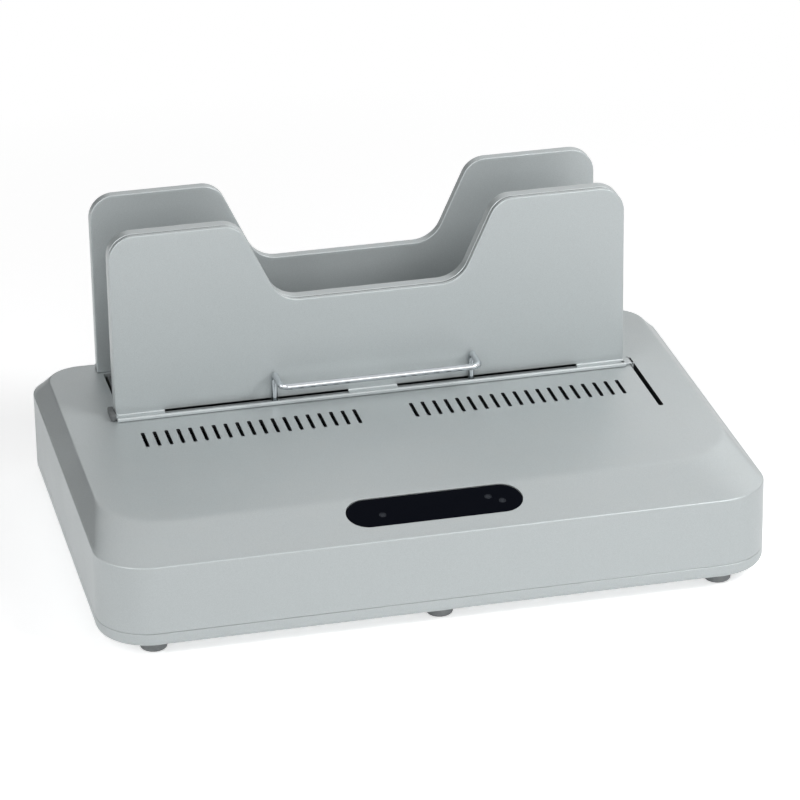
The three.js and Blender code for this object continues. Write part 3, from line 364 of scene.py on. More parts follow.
# %% [markdown]
# ### Metal
# The handle is bright chromed wire. Chrome is nearly a mirror, so what makes it real is a little
# unevenness: fine polish lines along the wire and slow smudges from hands. The screws and the guide
# rod are zinc plated steel, duller and faintly brushed. The heating plate is aluminium with a baked
# dark anodised coat, brushed along its length.

# %% Metal
tree, shader = material("wire_chrome", Metallic=1.0)
smudge = use(tree, mottle, Size=18.0, Low=0.04, High=0.12)["Value"]
put(tree, shader["Roughness"], smudge)
polish = use(tree, brushing, Stretch=(60.0, 1800.0, 1800.0), Depth=0.0006)
chrome = mixed(tree, polish["Value"], linear(182, 186, 190), linear(204, 207, 210))
put(tree, shader["Base Color"], chrome)
put(tree, shader["Normal"], polish["Normal"])

tree, shader = material("steel", Metallic=1.0)
lines = use(tree, brushing, Stretch=(900.0, 900.0, 900.0), Depth=0.001)
tone = use(tree, mottle, Size=6.0, Low=0.0, High=1.0)["Value"]
put(tree, shader["Base Color"], mixed(tree, tone, linear(150, 152, 154), linear(186, 188, 190)))
put(tree, shader["Roughness"], ranged(tree, lines["Value"], 0.28, 0.45))
put(tree, shader["Normal"], lines["Normal"])

tree, shader = material("plate", Metallic=0.9)
lines = use(tree, brushing, Stretch=(12.0, 2400.0, 900.0), Depth=0.003)
stain = use(tree, mottle, Size=35.0, Low=0.0, High=1.0)["Value"]
put(tree, shader["Base Color"], mixed(tree, stain, linear(104, 106, 108), linear(128, 129, 130)))
put(tree, shader["Roughness"], ranged(tree, lines["Value"], 0.38, 0.58))
put(tree, shader["Normal"], lines["Normal"])
print("metal: wire_chrome, steel, plate")

# %% [markdown]
# ### Plastic, rubber and the rest
# The window is black plastic polished like glass, so only dust and a few smudges show on it. The
# power inlet and switch are black plastic straight from a spark eroded mould, which leaves a fine
# even grain. Feet are soft rubber with a dull, slightly dusty skin. The parts under the cover have
# plain workshop finishes: mica sheet with pale flecks, and green boards with copper tracks.

# %% Plastic and rubber
tree, shader = material("window_black", IOR=1.45, Specular_IOR_Level=0.012)
cover = use(tree, dust, Amount=0.004)["Mask"]
put(tree, shader["Base Color"], mixed(tree, cover, linear(9, 12, 20), linear(120, 120, 122)))
put(tree, shader["Roughness"], use(tree, mottle, Size=14.0, Low=0.03, High=0.10)["Value"])
put(tree, shader["Normal"], use(tree, grain, Cell=12.0, Depth=0.004)["Normal"])


def textured_plastic(slot, dark, light, low, high, cell, depth):
    """Moulded plastic: fine even grain, with its tone and shine changing slowly."""
    tree, shader = material(slot, IOR=1.46)
    tone = use(tree, mottle, Size=9.0)["Value"]
    surface = use(tree, grain, Cell=cell, Depth=depth)
    cover = use(tree, dust, Amount=0.12)["Mask"]
    colour = mixed(tree, tone, dark, light)
    put(tree, shader["Base Color"], mixed(tree, cover, colour, linear(150, 148, 144)))
    put(tree, shader["Roughness"], ranged(tree, surface["Height"], low, high, (0.3, 0.7)))
    put(tree, shader["Normal"], surface["Normal"])


textured_plastic("black_plastic", linear(24, 25, 27), linear(34, 35, 37), 0.42, 0.58, 0.35, 0.02)
textured_plastic("grey_plastic", linear(146, 150, 152), linear(162, 166, 167), 0.45, 0.6, 0.35, 0.02)
textured_plastic("shoe_plastic", linear(88, 91, 92), linear(104, 107, 108), 0.45, 0.6, 0.35, 0.02)
textured_plastic("foot_rubber", linear(138, 141, 142), linear(156, 159, 160), 0.75, 0.95, 0.5, 0.05)
print("plastic: window_black, black_plastic, grey_plastic, shoe_plastic, foot_rubber")

# %% [markdown]
# Mica is pressed from flakes, a board has fine copper tracks under its green coat, and an unlit
# lamp is milky plastic.

# %% Mica, boards and lamps
tree, shader = material("mica", IOR=1.56)
fleck = use(tree, flakes, Size=1.8)["Value"]
put(tree, shader["Base Color"], mixed(tree, fleck, linear(160, 146, 112), linear(204, 192, 160)))
put(tree, shader["Roughness"], ranged(tree, fleck, 0.45, 0.8))
put(tree, shader["Normal"], use(tree, grain, Cell=2.5, Depth=0.03)["Normal"])

tree, shader = material("board", IOR=1.5)
track_lines = add(tree, "ShaderNodeTexBrick",
                  {"Vector": object_coordinates(tree), "Scale": 120.0, "Mortar Size": 0.03,
                   "Color1": linear(26, 84, 52), "Color2": linear(30, 92, 58),
                   "Mortar": linear(58, 128, 84)})
tone = use(tree, mottle, Size=12.0, Low=0.0, High=0.35)["Value"]
put(tree, shader["Base Color"], mixed(tree, tone, track_lines.outputs["Color"], linear(20, 66, 42)))
put(tree, shader["Roughness"], use(tree, mottle, Size=5.0, Low=0.3, High=0.45)["Value"])
put(tree, shader["Normal"], use(tree, grain, Cell=0.8, Depth=0.01)["Normal"])

tree, shader = material("lamp", IOR=1.49, Specular_IOR_Level=0.08)
milk = use(tree, mottle, Size=1.2)["Value"]
put(tree, shader["Base Color"], mixed(tree, milk, linear(32, 35, 42), linear(54, 58, 64)))
put(tree, shader["Roughness"], ranged(tree, milk, 0.22, 0.4))
put(tree, shader["Normal"], use(tree, grain, Cell=0.6, Depth=0.01)["Normal"])
print("finishes:", sorted(finishes))

# %% [markdown]
# ## Cover
# The cover is one plastic moulding with a level top, a sloped border and upright walls. The border
# is wide in front, where the window is, and narrow at the sides and the rear. Its edge to the wall
# is crisp and its edge to the top is soft, as the photograph's highlights show. One ring round
# the machine is moved up the wall, round the rim, up the slope and over the ridge. Then it goes
# back along the inside, so that the wall has its real thickness at every slot.

# %% Cover shell
SIDE, REAR, FRONT = 207.0, 144.25, -144.25
WALL, WALL_FOOT, WALL_TOP, TOP = 2.5, 17.0, 60.6, 70.4
SLOPE_SIDE, SLOPE_FRONT, RIM, FLAT = 10.2, 45.0, 1.0, 1.5
CORNER_FRONT, CORNER_REAR = 33, 27
RIDGE_START, STEEPNESS = 0.82, 0.95 / 0.84


def housing_rings(side, front, z, corner_front, corner_rear):
    """Rings inside the housing's faces by side and front margins, with their corner radii."""
    return rounded_rings((side - SIDE, SIDE - side), (FRONT + front, REAR - side), z,
                         (corner_front, corner_rear), 20)


def ridge(share):
    """Rise over the border: straight up to 0.82 of its width, then a cubic that ends level."""
    t = np.clip((share - RIDGE_START) / (1 - RIDGE_START), 0, 1)
    first, run = RIDGE_START * STEEPNESS, (1 - RIDGE_START) * STEEPNESS
    curve = (2 * t**3 - 3 * t**2 + 1) * first + (t**3 - 2 * t**2 + t) * run + (3 * t**2 - 2 * t**3)
    return np.where(share < RIDGE_START, share * STEEPNESS, curve)


# The corners' radii grow by 12 in front and shrink by 5 at the rear from the rim to the ridge.
share = np.concatenate([np.linspace(0, RIDGE_START, 9)[1:], np.linspace(RIDGE_START, 1, 13)[1:]])
ridge_front, ridge_rear = CORNER_FRONT - RIM + 12 * share, CORNER_REAR - RIM - 5 * share
slope = housing_rings(RIM + share * SLOPE_SIDE, RIM + share * SLOPE_FRONT,
                      WALL_TOP + ridge(share) * (TOP - WALL_TOP), ridge_front, ridge_rear)
level = housing_rings(RIM + SLOPE_SIDE + FLAT, RIM + SLOPE_FRONT + FLAT, TOP,
                      ridge_front[-1] - FLAT, ridge_rear[-1] - FLAT)
inset, drop = rounding(RIM, 6)
rim = housing_rings(inset, inset, WALL_TOP - drop, CORNER_FRONT - inset, CORNER_REAR - inset)
foot_of_wall = housing_rings(0, 0, WALL_FOOT, CORNER_FRONT, CORNER_REAR)
inner = housing_rings(np.array([WALL, WALL, 10.8, 12.45]), np.array([WALL, WALL, 40.05, 47.25]),
                      np.array([WALL_FOOT, WALL_TOP - WALL, 67.4, TOP - WALL]),
                      np.array([CORNER_FRONT - WALL, CORNER_FRONT - WALL, 40.8, 42.75]),
                      np.array([CORNER_REAR - WALL, CORNER_REAR - WALL, 20.55, 19.75]))
cover_rings = np.concatenate([level, slope[::-1], rim[::-1], foot_of_wall, inner])
cover = solid("cover_shell", loft(cover_rings), "casing")
print("cover_shell:", len(cover_rings), "rings of", cover_rings.shape[1], "points")

# %% [markdown]
# The openings come out of the finished shell: two rows of vents that let warm air out, the slot in
# which the sliding support's tongue runs, two long air slots under that support, the well for the
# heating plate, the window and the power corner. The window's opening is square to the slope.

# %% Cover openings
def box_shape(x, y, z):
    """A plain block between two values on each axis."""
    corners = np.array([[x[0], y[0]], [x[1], y[0]], [x[1], y[1]], [x[0], y[1]]])
    return loft([np.column_stack([corners, np.full(4, level)]) for level in z])


def stadium(length, width, z, steps=12):
    """Rings of a stadium about the origin, for arrays of length, width and z."""
    length, width = np.broadcast_arrays(length, width)
    half = width / 2 - 0.01
    return rounded_rings((-length / 2, length / 2), (-width / 2, width / 2), z, (half, half), steps)


SLOPE_ANGLE = math.atan2(STEEPNESS * (TOP - WALL_TOP), SLOPE_FRONT)
WINDOW_Y, WINDOW_LENGTH, WINDOW_WIDTH = -117.95, 108.8, 26.7
WINDOW_Z = WALL_TOP + (WINDOW_Y - FRONT - RIM) * math.tan(SLOPE_ANGLE)


def in_window(shape):
    """A shape drawn flat at the origin, moved onto the front slope."""
    points, faces = shape
    tilt = np.array([[1, 0, 0], [0, math.cos(SLOPE_ANGLE), -math.sin(SLOPE_ANGLE)],
                     [0, math.sin(SLOPE_ANGLE), math.cos(SLOPE_ANGLE)]])
    return points @ tilt.T + np.array([0, WINDOW_Y, WINDOW_Z]), faces


def vent_rows(first, pitch, count, width, y, z):
    """Two mirrored rows of upright slots at x = first + k pitch and x = -(first + k pitch)."""
    x = first + pitch * np.arange(count)
    corner = width / 2 - 0.1
    slot = loft(rounded_rings((-width / 2, width / 2), y, np.array(z), (corner, corner), 4))
    return copies(slot, [(at, 0, 0) for at in np.concatenate([-x, x])])


# Openings in the top are cut from THROUGH's low to its high level. The slide slot has a rib round it.
THROUGH = (60.0, 76.0)
SLOT_LEFT, SLOT_RIGHT, SLOT_FRONT, SLOT_REAR, RIB = 168.3, 171.5, -22.4, 54.3, 1.8
vents = vent_rows(first=18.3, pitch=7.48, count=19, width=2.4, y=(0.8, 22.2), z=(64.0, 74.0))
# The vents' cut walls are black: painted shade deep in the narrow slots.
cut(cover, vents, "black_plastic")
slide_slot = slab((SLOT_LEFT, SLOT_RIGHT), (SLOT_FRONT, SLOT_REAR), THROUGH, 1.5, 0.1)
air_slots = [box_shape(x, (43.0, 47.4), THROUGH) for x in ((-133.5, -16.3), (16.3, 133.5))]
well = box_shape((-161.5, 161.5), (62.0, 117.4), THROUGH)
power = slab((-151.0, -89.0), (138.0, 148.0), (23.5, 52.5), 0.2, 0.1)
window = in_window(loft(stadium(WINDOW_LENGTH, WINDOW_WIDTH, np.array([-8.0, 8.0]))))
# The walls of the slide slot and the air slots are black too, as painted shade.
cut(cover, joined(slide_slot, *air_slots), "black_plastic")
cut(cover, joined(well, power, window))
piece(cover, "housing", "casing", "top_cover")

ribs = [box_shape((x, x + RIB), (SLOT_FRONT - RIB, SLOT_REAR + RIB), (58.5, 68.2))
        for x in (SLOT_LEFT - RIB, SLOT_RIGHT)]
piece(solid("slide_slot_ribs", joined(*ribs), "black_plastic"), "housing", "black_plastic")

# %% [markdown]
# ## Base pan and feet
# A shallow pan closes the machine from below. Its rim stands inside the cover, and a fine parting
# line is left between the two, which the photograph shows near the foot of the front wall. Screws
# come up through six bosses. Cool air comes in through two rows of slots in the floor.

# %% Base pan
PAN_FOOT, SCREW_BORE = 8.0, 3.3
inset, drop = rounding(4.0, 8)
pan_inset = np.concatenate([[4.2, 4.2, 2.8, 2.8, 0.25, 0.0], inset, [5.5]])
pan_level = np.concatenate([[10.5, 20.4, 20.4, 16.6, 16.6, 16.35], PAN_FOOT + drop, [PAN_FOOT]])
pan_rings = housing_rings(pan_inset, pan_inset, pan_level,
                          CORNER_FRONT - pan_inset, CORNER_REAR - pan_inset)
pan = solid("pan_shell", loft(pan_rings), "casing")
cut(pan, vent_rows(first=30.0, pitch=9.0, count=8, width=3.0, y=(20.0, 60.0), z=(6.0, 12.0)))
screw_places = [(0.5 * sum(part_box(f"housing_screw_{i}")[k][0] for k in (0, 1)) / MM,
                 0.5 * sum(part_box(f"housing_screw_{i}")[k][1] for k in (0, 1)) / MM, 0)
                for i in range(1, 7)]
bore = lathe([(SCREW_BORE, 6.0), (SCREW_BORE, 12.0)])
cut(pan, copies(bore, screw_places))
piece(pan, "housing", "casing", "base_pan")
boss = lathe([(SCREW_BORE, 8.4), (5.5, 8.4), (5.5, 14.5), (1.8, 14.5), (1.8, 12.4),
              (SCREW_BORE, 12.4), (SCREW_BORE, 8.45)])
piece(solid("pan_bosses", copies(boss, screw_places), "casing"), "housing", "casing")

# %% [markdown]
# Six round rubber feet keep the pan off the table. Each is a moulded button with a barbed stem that
# is pressed through the pan. It is a line turned about its axis, with its lower edge well rounded.

# %% Feet
FOOT_RADIUS = 8.2
inset, drop = rounding(1.4, 6)
sole = np.column_stack([FOOT_RADIUS - inset[::-1], drop[::-1]])
stem = [(FOOT_RADIUS, 7.2), (7.9, 7.7), (2.6, 7.7), (2.6, 10.8), (3.6, 10.8), (2.6, 12.5),
        (0.2, 12.5)]
profile = np.vstack([[(0.2, 0.25), (5.8, 0.25), (6.0, 0.0)], sole, stem])
foot_shape = lathe(profile)
feet = [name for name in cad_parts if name.startswith("foot_")]
for name in feet:
    low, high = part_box(name)
    place = ((low[0] + high[0]) / 2 / MM, (low[1] + high[1]) / 2 / MM, 0)
    foot = solid("rubber_" + name, copies(foot_shape, [place]), "foot_rubber")
    piece(foot, "housing", "foot_rubber", name)

# %% [markdown]
# ## Supports
# Both supports are pressed from sheet metal with one outline: two tall tabs beside a U-shaped
# cut-out that leaves room for a hand. A press folds the edge of the sheet backward over its whole
# length, so each support is a shallow pan. The outline below is drawn once, with every corner
# an arc, and can be drawn smaller by an inset. Rings of it at growing depth make the folded edge.

# %% Outline of the supports
BASE, SUPPORT_TOP, CUTOUT_FLOOR = 70.7, 191.4, 138.0
SUPPORT_SIDE, CUTOUT_SIDE = 165.0, 57.8
SLANT_RUN, SLANT_RISE = 24.9, 53.4
TAB_CORNER, CUTOUT_CORNER = 16, 20


def unit(vector):
    """The same direction with length one."""
    return vector / np.linalg.norm(vector)


def fillet(before, corner, after, radius, steps=12):
    """An arc round centre c: c + (sin((1 - t) w) start + sin(t w) stop) / sin w, w its sweep."""
    if radius == 0:
        return corner[None, :]
    a, b = unit(before - corner), unit(after - corner)
    half = np.arccos(a @ b) / 2
    centre = corner + unit(a + b) * radius / np.sin(half)
    start = corner + a * radius / np.tan(half) - centre
    stop = corner + b * radius / np.tan(half) - centre
    sweep = np.pi - 2 * half
    t = np.linspace(0, 1, steps + 1)[:, None]
    return centre + (np.sin((1 - t) * sweep) * start + np.sin(t * sweep) * stop) / np.sin(sweep)


def support_ring(inset, y):
    """The outline in XZ at depth y, moved inward by inset, its corner radii moved with it."""
    x, top, floor = SUPPORT_SIDE - inset, SUPPORT_TOP - inset, CUTOUT_FLOOR - inset
    edge = CUTOUT_SIDE + inset * math.hypot(SLANT_RUN, SLANT_RISE) / SLANT_RISE
    slant = [edge + SLANT_RUN * (z - CUTOUT_FLOOR) / SLANT_RISE for z in (top, floor)]
    half = [(x, BASE + inset, 0), (x, top, TAB_CORNER - inset),
            (slant[0], top, TAB_CORNER - inset), (slant[1], floor, CUTOUT_CORNER + inset)]
    corners = half + [(-a, b, r) for a, b, r in half[::-1]]
    places = np.array([corner[:2] for corner in corners])
    arcs = [fillet(places[i - 1], places[i], places[(i + 1) % len(places)], corners[i][2])
            for i in range(len(places))]
    line = np.concatenate(arcs)
    return np.column_stack([line[:, 0], np.full(len(line), y), line[:, 1]])


def support_loft(insets, depths):
    """The solid through one outline for each inset and depth."""
    return loft([support_ring(inset, y) for inset, y in zip(insets, depths)])


def pressed_pan(front, depth, fold=0.6, sheet=1.2):
    """A sheet folded back round its outline: face, rounded fold, free edge and inside."""
    inset, drop = rounding(fold, 6)
    insets = np.concatenate([[2.4], inset[::-1], [0, 0.3, sheet - 0.3, sheet, sheet]])
    free_edge = [depth - 0.3, depth, depth, depth - 0.3]
    depths = front + np.concatenate([[0], drop[::-1], free_edge, [sheet]])
    return support_loft(insets, depths)


print("outline:", len(support_ring(0, 0)), "points")

# %% [markdown]
# ### Rear support
# The rear support stands still. Its sheet turns backward at the bottom as well, and three screws
# hold that flange to the cover.

# %% Rear support
rear_flange = slab((-SUPPORT_SIDE, SUPPORT_SIDE), (119.9, 131.6), (BASE, 72.3), 2.0, 0.3)
rear_pan = pressed_pan(front=119.2, depth=6.4)
rear = solid("rear_panel", joined(rear_pan, rear_flange), "support_paint")
piece(rear, "housing", "support_paint", "rear_support")

# %% [markdown]
# ### Sliding support
# The front support is two pressings, back to back, with a groove between them that runs round the
# whole outline. It shows as the dark line along the top in the photograph. A dark plate, a little
# smaller than the pressings, lies at the bottom of the groove. Its dark colour is painted shade, so
# the groove reads as a dark line. The face pressing ends in a foot that points forward, with a rolled
# bead for a lip and two long slots. At its right end a tongue goes down through the cover to the
# slide.

# %% Face of the sliding support
def along_x(section, x):
    """A closed section in YZ carried along X."""
    section = np.asarray(section, dtype=float)
    return loft([np.column_stack([np.full(len(section), at), section]) for at in x])


def turn(centre, radius, start, stop, steps=8):
    """Points of an arc in YZ: centre + r (cos t, sin t)."""
    t = np.radians(np.linspace(start, stop, steps + 1))
    return np.column_stack([centre[0] + radius * np.cos(t), centre[1] + radius * np.sin(t)])


FACE_Y, PAN_REAR, BACK_FRONT, BACK_REAR = 47.9, 50.9, 52.3, 61.3
FOOT_FRONT, FOOT_TOP = 42.5, 71.9
section = np.vstack([[(PAN_REAR, BASE), (PAN_REAR, FOOT_TOP), (48.6, FOOT_TOP), (48.6, 73.3)],
                     [(48.1, 73.1)], turn((46.9, 72.9), 1.0, 0, -90), [(42.3, FOOT_TOP)],
                     turn((41.2, 72.2), 1.0, -20, 180), [(40.2, 71.0), (40.5, BASE)]])
face_foot = solid("front_foot", along_x(section, (-SUPPORT_SIDE, SUPPORT_SIDE)), "support_paint")
foot_slots = [box_shape(x, (FOOT_FRONT, FACE_Y), (68.0, 72.9))
              for x in ((-134.0, -15.8), (15.8, 134.0))]
cut(face_foot, joined(*foot_slots))
piece(face_foot, "sliding_support", "support_paint")

tongue = [slab((163.0, 170.7), (FOOT_FRONT, PAN_REAR), (BASE, FOOT_TOP), 0.6, 0.2),
          slab((169.1, 170.7), (FOOT_FRONT, 53.7), (52.3, FOOT_TOP), 0.4, 0.2)]
ear = slab((-167.4, -163.8), (43.7, PAN_REAR), (71.8, 73.0), 0.4, 0.2)
front_pan = pressed_pan(front=FACE_Y, depth=PAN_REAR - FACE_Y)
front = solid("front_panel", joined(front_pan, *tongue, ear), "support_paint")
piece(front, "sliding_support", "support_paint", "front_support")

# A dark plate in the groove: painted shade between the two pressings.
groove = support_loft([0.45, 0.45], [PAN_REAR - 0.05, BACK_FRONT + 0.1])
middle = solid("groove_shade_plate", groove, "groove_painted_shade")
piece(middle, "sliding_support", "support_paint")
inset, drop = rounding(2.2, 8)
insets = np.concatenate([[3.4, 0.4, 0.0], inset, [3.4]])
depths = np.concatenate([[BACK_FRONT, BACK_FRONT, 52.7], BACK_REAR - drop, [BACK_REAR]])
backing = solid("front_backing", support_loft(insets, depths), "support_paint")
piece(backing, "sliding_support", "support_paint", "front_support_back")
shoe_shape = slab((-168.8, -165.3), (42.6, 58.0), (BASE, 74.4), 1.2, 0.5)
shoe = solid("shoe_block", shoe_shape, "shoe_plastic")
piece(shoe, "sliding_support", "grey_plastic", "glide_shoe")

# %% [markdown]
# ## Wire handle
# The sliding support is pulled by a handle of bent chromed wire, 4 mm thick. A wire is a circle
# carried along a line. The line has straight runs and four bends of one radius, and the circle
# stands square to it everywhere.

# %% Wire handle
def bent_line(corners, radius, steps=14):
    """A line through corners, each bend an arc of the same radius."""
    corners = np.asarray(corners, dtype=float)
    bends = [fillet(*corners[i - 1:i + 2], radius, steps) for i in range(1, len(corners) - 1)]
    return np.concatenate([corners[:1], *bends, corners[-1:]])


def tube(line, radius, sides=32):
    """Place + r (cos v N + sin v B), where N and B are square to the line and to each other."""
    ahead = np.gradient(line, axis=0)
    ahead /= np.linalg.norm(ahead, axis=1)[:, None]
    guide = np.ones(3) / math.sqrt(3)
    normal = guide - (ahead @ guide)[:, None] * ahead
    normal /= np.linalg.norm(normal, axis=1)[:, None]
    other = np.cross(ahead, normal)
    v = np.linspace(0, 2 * np.pi, sides, endpoint=False)[None, :, None]
    return loft(line[:, None] + radius * (np.cos(v) * normal[:, None] + np.sin(v) * other[:, None]))


LEG_X, LEG_Y, LEG_FOOT, GRIP_Y, GRIP_Z = 63.9, 45.6, 71.2, 22.0, 90.8
WIRE_RADIUS, BEND_RADIUS = 2.0, 5.0
half = [(LEG_Y, LEG_FOOT), (LEG_Y, GRIP_Z), (GRIP_Y, GRIP_Z)]
wire_corners = [(-LEG_X, y, z) for y, z in half] + [(LEG_X, y, z) for y, z in half[::-1]]
wire = solid("chrome_wire", tube(bent_line(wire_corners, BEND_RADIUS), WIRE_RADIUS), "wire_chrome")
piece(wire, "sliding_support", "wire_chrome", "wire_handle")

# %% [markdown]
# ## Window
# One black window in the front slope covers the lamps. It is a stadium of polished plastic, set a
# hair below the cover, with a softly rounded edge and a lip behind the opening. Three small lamps
# stand in it: power, ready and cooling down.

# %% Window
LENS_GAP, LENS_DROP = 0.3, 0.2
inset, drop = rounding(0.7, 5)
lens_inset = np.concatenate([[1.6], inset[::-1], [0.0, -1.0, -1.0, 2.0]])
lens_level = np.concatenate([[0.0], -drop[::-1], [-3.4, -3.4, -4.8, -4.8]]) - LENS_DROP
lens_rings = stadium(WINDOW_LENGTH - 2 * (LENS_GAP + lens_inset),
                     WINDOW_WIDTH - 2 * (LENS_GAP + lens_inset), lens_level)
lens = solid("window_glass", in_window(loft(lens_rings)), "window_black")
lamp_places = {"led_power": (-32.64, -2.94, 0), "led_ready": (33.73, 2.67, 0),
               "led_cooling": (41.34, -2.4, 0)}
hole = lathe([(1.6, -8.0), (1.6, 4.0)], 32)
cut(lens, in_window(copies(hole, lamp_places.values())))
piece(lens, "housing", "window_black", "control_window")
ring = lathe([(1.75, -0.3), (1.75, -0.17), (2.15, -0.17), (2.15, -0.3), (1.8, -0.31)], 32)
marks = in_window(copies(ring, lamp_places.values()))
piece(solid("lamp_marks", marks, "lamp"), "housing", "lamp")

# %% [markdown]
# ## Parts that keep their CAD shape
# Small moulded and turned parts are right as they are drawn, but no real edge is perfectly sharp.
# Each of them is copied, its loose triangles are merged into whole faces, and a Bevel modifier
# rounds the edges so that they catch the light.

# %% Softened copies
def softened(name, body, slot, width):
    """A merged copy of a CAD node whose sharp edges are rounded by a width in millimetres."""
    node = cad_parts[name]
    count = len(node.data.vertices)
    points = np.empty(count * 3)
    node.data.vertices.foreach_get("co", points)
    matrix = np.array(node.matrix_world)
    placed = points.reshape(-1, 3) @ matrix[:3, :3].T + matrix[:3, 3]
    merged, index = np.unique(np.round(placed, 7), axis=0, return_inverse=True)
    corners = np.empty(len(node.data.loops), dtype=int)
    node.data.loops.foreach_get("vertex_index", corners)
    faces = index.ravel()[corners].reshape(-1, 3)
    obj = solid(name + "_soft", (merged / MM, faces.tolist()), slot)
    work = bmesh.new()
    work.from_mesh(obj.data)
    bmesh.ops.dissolve_limit(work, angle_limit=math.radians(0.5),
                             verts=work.verts, edges=work.edges)
    work.to_mesh(obj.data)
    work.free()
    bevel = obj.modifiers.new("edges", "BEVEL")
    bevel.width = width * MM
    bevel.segments = 2
    bevel.limit_method = "ANGLE"
    bevel.angle_limit = math.radians(40)
    bevel.harden_normals = True
    piece(obj, body, slot, name, sharp=40)


softened("heating_plate", "housing", "plate", 0.3)
softened("guide_rod", "housing", "steel", 0.3)
softened("slide_carriage", "sliding_support", "black_plastic", 0.3)
softened("power_bezel", "housing", "black_plastic", 0.3)
softened("power_inlet", "housing", "black_plastic", 0.25)
softened("power_switch", "housing", "black_plastic", 0.25)
softened("power_rocker", "rocker", "black_plastic", 0.3)
for number in (1, 2, 3):
    softened(f"support_screw_{number}", "housing", "steel", 0.15)

# %% [markdown]
# The rest are inside the machine. They keep the CAD's own mesh and only get their finish.

# %% Finishes of the other nodes
inside = {
    "steel": ["heater_tray", "board_screw_left", "board_screw_right", "capacitor", "thermal_fuse"]
    + [f"housing_screw_{number}" for number in range(1, 7)],
    "mica": ["insulation_pad", "heater_element", "insulator_block_left", "insulator_block_right"],
    "board": ["control_board", "main_board"],
    "black_plastic": ["thermostat", "relay", "buzzer"],
    "grey_plastic": ["transformer"],
    "lamp": ["led_power", "led_ready", "led_cooling"],
}
for slot, names in inside.items():
    for name in names:
        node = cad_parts[name]
        node.data.materials.clear()
        node.data.materials.append(finishes[slot])
left = [name for name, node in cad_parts.items()
        if not any(material in finishes.values() for material in node.data.materials)]
print("nodes that another piece stands for:", left)

# %% [markdown]
# ## Light, table and camera
# The photograph is a catalogue picture on white. Large soft lights stand around the machine, and
# the table is pale, so shadows are faint. A pale table also lights a product from below, and that
# is why the walls look brighter than the top.

# %% Floor and world
def background_rays(tree):
    """1 for the rays that show the background: to the camera, off gloss and through glass."""
    path = add(tree, "ShaderNodeLightPath").outputs
    most = calculate(tree, "MAXIMUM", path["Is Camera Ray"], path["Is Glossy Ray"])
    return calculate(tree, "MAXIMUM", most, path["Is Transmission Ray"])


FLOOR_GLOW = 0.55
floor = solid("floor", slab((-6000, 6000), (-6000, 6000), (-20.0, 0.0), 10.0, 1.0))
pale = bpy.data.materials.new("pale_table")
tree = emptied(pale)
diffuse = add(tree, "ShaderNodeBsdfDiffuse", {"Color": (0.9, 0.9, 0.9, 1.0)})
glow = add(tree, "ShaderNodeEmission", {"Color": (1.0, 1.0, 1.0, 1.0), "Strength": FLOOR_GLOW})
near = add(tree, "ShaderNodeAddShader", {0: diffuse.outputs[0], 1: glow.outputs[0]})
far = add(tree, "ShaderNodeEmission", {"Color": (1.0, 1.0, 1.0, 1.0), "Strength": 1.0})
distance = add(tree, "ShaderNodeVectorMath", {0: object_coordinates(tree)}, operation="LENGTH")
away = ranged(tree, distance.outputs["Value"], 0.0, 1.0, (0.36, 0.8))
shown = add(tree, "ShaderNodeMixShader", {0: away, 1: near.outputs[0], 2: far.outputs[0]})
surface = add(tree, "ShaderNodeMixShader",
              {0: background_rays(tree), 1: diffuse.outputs[0], 2: shown.outputs[0]})
add(tree, "ShaderNodeOutputMaterial", {"Surface": surface.outputs[0]})
floor.data.materials.append(pale)

world = bpy.data.worlds.new("studio")
bpy.context.scene.world = world
tree = emptied(world)
direction = add(tree, "ShaderNodeTexCoord").outputs["Generated"]
height = add(tree, "ShaderNodeSeparateXYZ", {0: direction}).outputs["Z"]
lift = ranged(tree, height, 0.0, 1.0, (0.15, 0.75))
room = mixed(tree, lift, (0.40, 0.41, 0.42, 1.0), (0.95, 0.97, 1.0, 1.0))
studio = add(tree, "ShaderNodeBackground", {"Color": room, "Strength": 0.055})
white = add(tree, "ShaderNodeBackground", {"Color": (1.0, 1.0, 1.0, 1.0), "Strength": 1.0})
sky = add(tree, "ShaderNodeMixShader",
          {0: background_rays(tree), 1: studio.outputs[0], 2: white.outputs[0]})
add(tree, "ShaderNodeOutputWorld", {"Surface": sky.outputs[0]})
print("table glow:", FLOOR_GLOW, "world:", studio.inputs["Strength"].default_value)

# %% [markdown]
# Six soft boxes light the machine, the largest from the front left. A small one hangs close to the
# front right corner. Light falls off fast near its lamp, so the right half of the machine comes out
# brighter than the left, as in the photograph.

# %% Lights
def softbox(name, place, size, power, aim=(0.0, 0.0, 0.08)):
    """A rectangular area light that looks at a point, all in metres and watts."""
    light = bpy.data.lights.new(name, "AREA")
    light.shape = "RECTANGLE"
    light.size, light.size_y = size
    light.energy = power
    obj = bpy.data.objects.new(name, light)
    obj.location = place
    obj.rotation_euler = (Vector(aim) - Vector(place)).to_track_quat("-Z", "Y").to_euler()
    bpy.context.scene.collection.objects.link(obj)


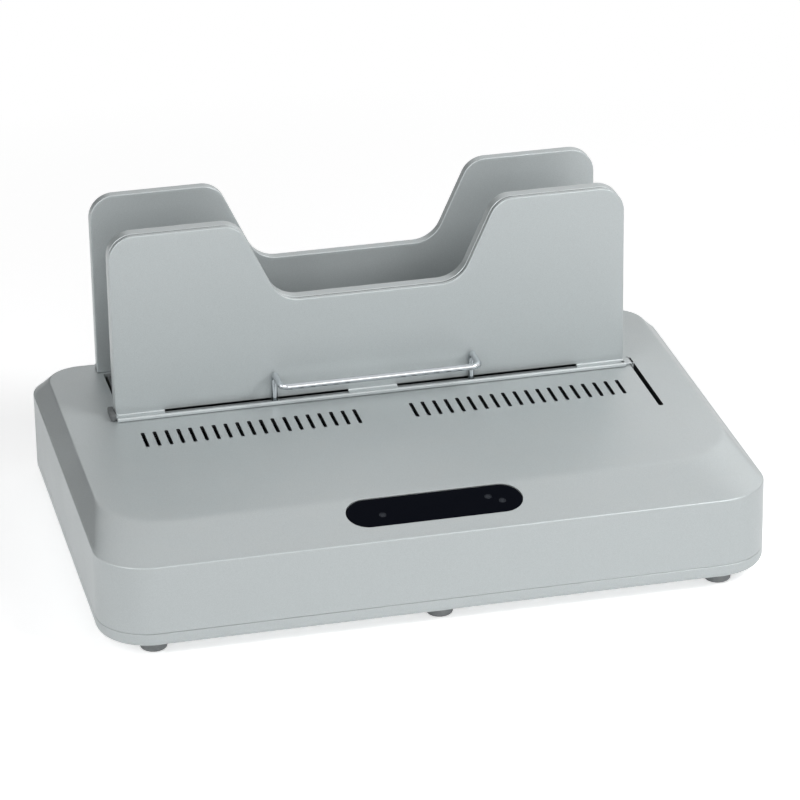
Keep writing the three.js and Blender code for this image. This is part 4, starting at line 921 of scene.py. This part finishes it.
softbox("key_left", (-1.5, -1.2, 1.6), (1.2, 1.2), 20.4)
softbox("front", (0.3, -2.2, 0.9), (1.6, 0.8), 11.0)
softbox("front_right", (0.8, -0.7, 1.0), (0.5, 0.5), 9.8)
softbox("left_low", (-1.9, -0.2, 0.6), (1.0, 0.8), 3.8)
softbox("rear_right", (1.1, 1.3, 1.1), (1.0, 0.8), 3.0)
softbox("rear_high", (-0.2, 1.2, 2.2), (1.2, 1.0), 1.4)
print("lamps in watts:", {lamp.name: round(lamp.energy, 1) for lamp in bpy.data.lights})

# %% [markdown]
# Satin metal paint is dark where it mirrors something dark. In the photograph the left border and
# the left of the top are darker than the wall beside them, so something dark probably stood behind
# the machine, to its left. Here it is a card. It can't be seen, but the paint mirrors it.

# %% Dark card
card = solid("card", box_shape((-2200.0, -250.0), (1600.0, 1610.0), (2.0, 1400.0)))
felt = bpy.data.materials.new("black_felt")
tree = emptied(felt)
fibres = use(tree, mottle, Size=60.0, Low=0.02, High=0.04)["Value"]
matt = add(tree, "ShaderNodeBsdfDiffuse", {"Color": fibres})
add(tree, "ShaderNodeOutputMaterial", {"Surface": matt.outputs[0]})
card.data.materials.append(felt)
card.visible_camera = False
print("card:", [round(value, 2) for value in card.dimensions], "m")

# %% [markdown]
# The camera stands where the photographer stood: a little to the left, well above the table, and
# far away with a long lens, since the machine's parallel edges hardly close in.

# %% Camera
DISTANCE, SHIFT_RIGHT, SHIFT_DOWN, AIM_HEIGHT = 2.54751, 0.00677, 0.01424, 0.1
azimuth, elevation, roll = map(math.radians, (-12.85, 24.46, -0.96))
outward = math.cos(elevation)
back = Vector((math.sin(azimuth) * outward, -math.cos(azimuth) * outward, math.sin(elevation)))
level_right = Vector((0, 0, 1)).cross(back).normalized()
level_up = back.cross(level_right)
right = level_right * math.cos(roll) + level_up * math.sin(roll)
up = level_up * math.cos(roll) - level_right * math.sin(roll)
lens_data = bpy.data.cameras.new("photo")
lens_data.lens, lens_data.sensor_width = 184.53, 36.0
camera = bpy.data.objects.new("photo", lens_data)
camera.matrix_world = Matrix((right, up, back)).transposed().to_4x4()
aim = Vector((0, 0, AIM_HEIGHT))
camera.location = aim + back * DISTANCE + right * SHIFT_RIGHT - up * SHIFT_DOWN
bpy.context.scene.collection.objects.link(camera)
bpy.context.scene.camera = camera
bpy.context.scene.view_settings.view_transform = "Standard"
print("camera at", [round(v, 4) for v in camera.location])
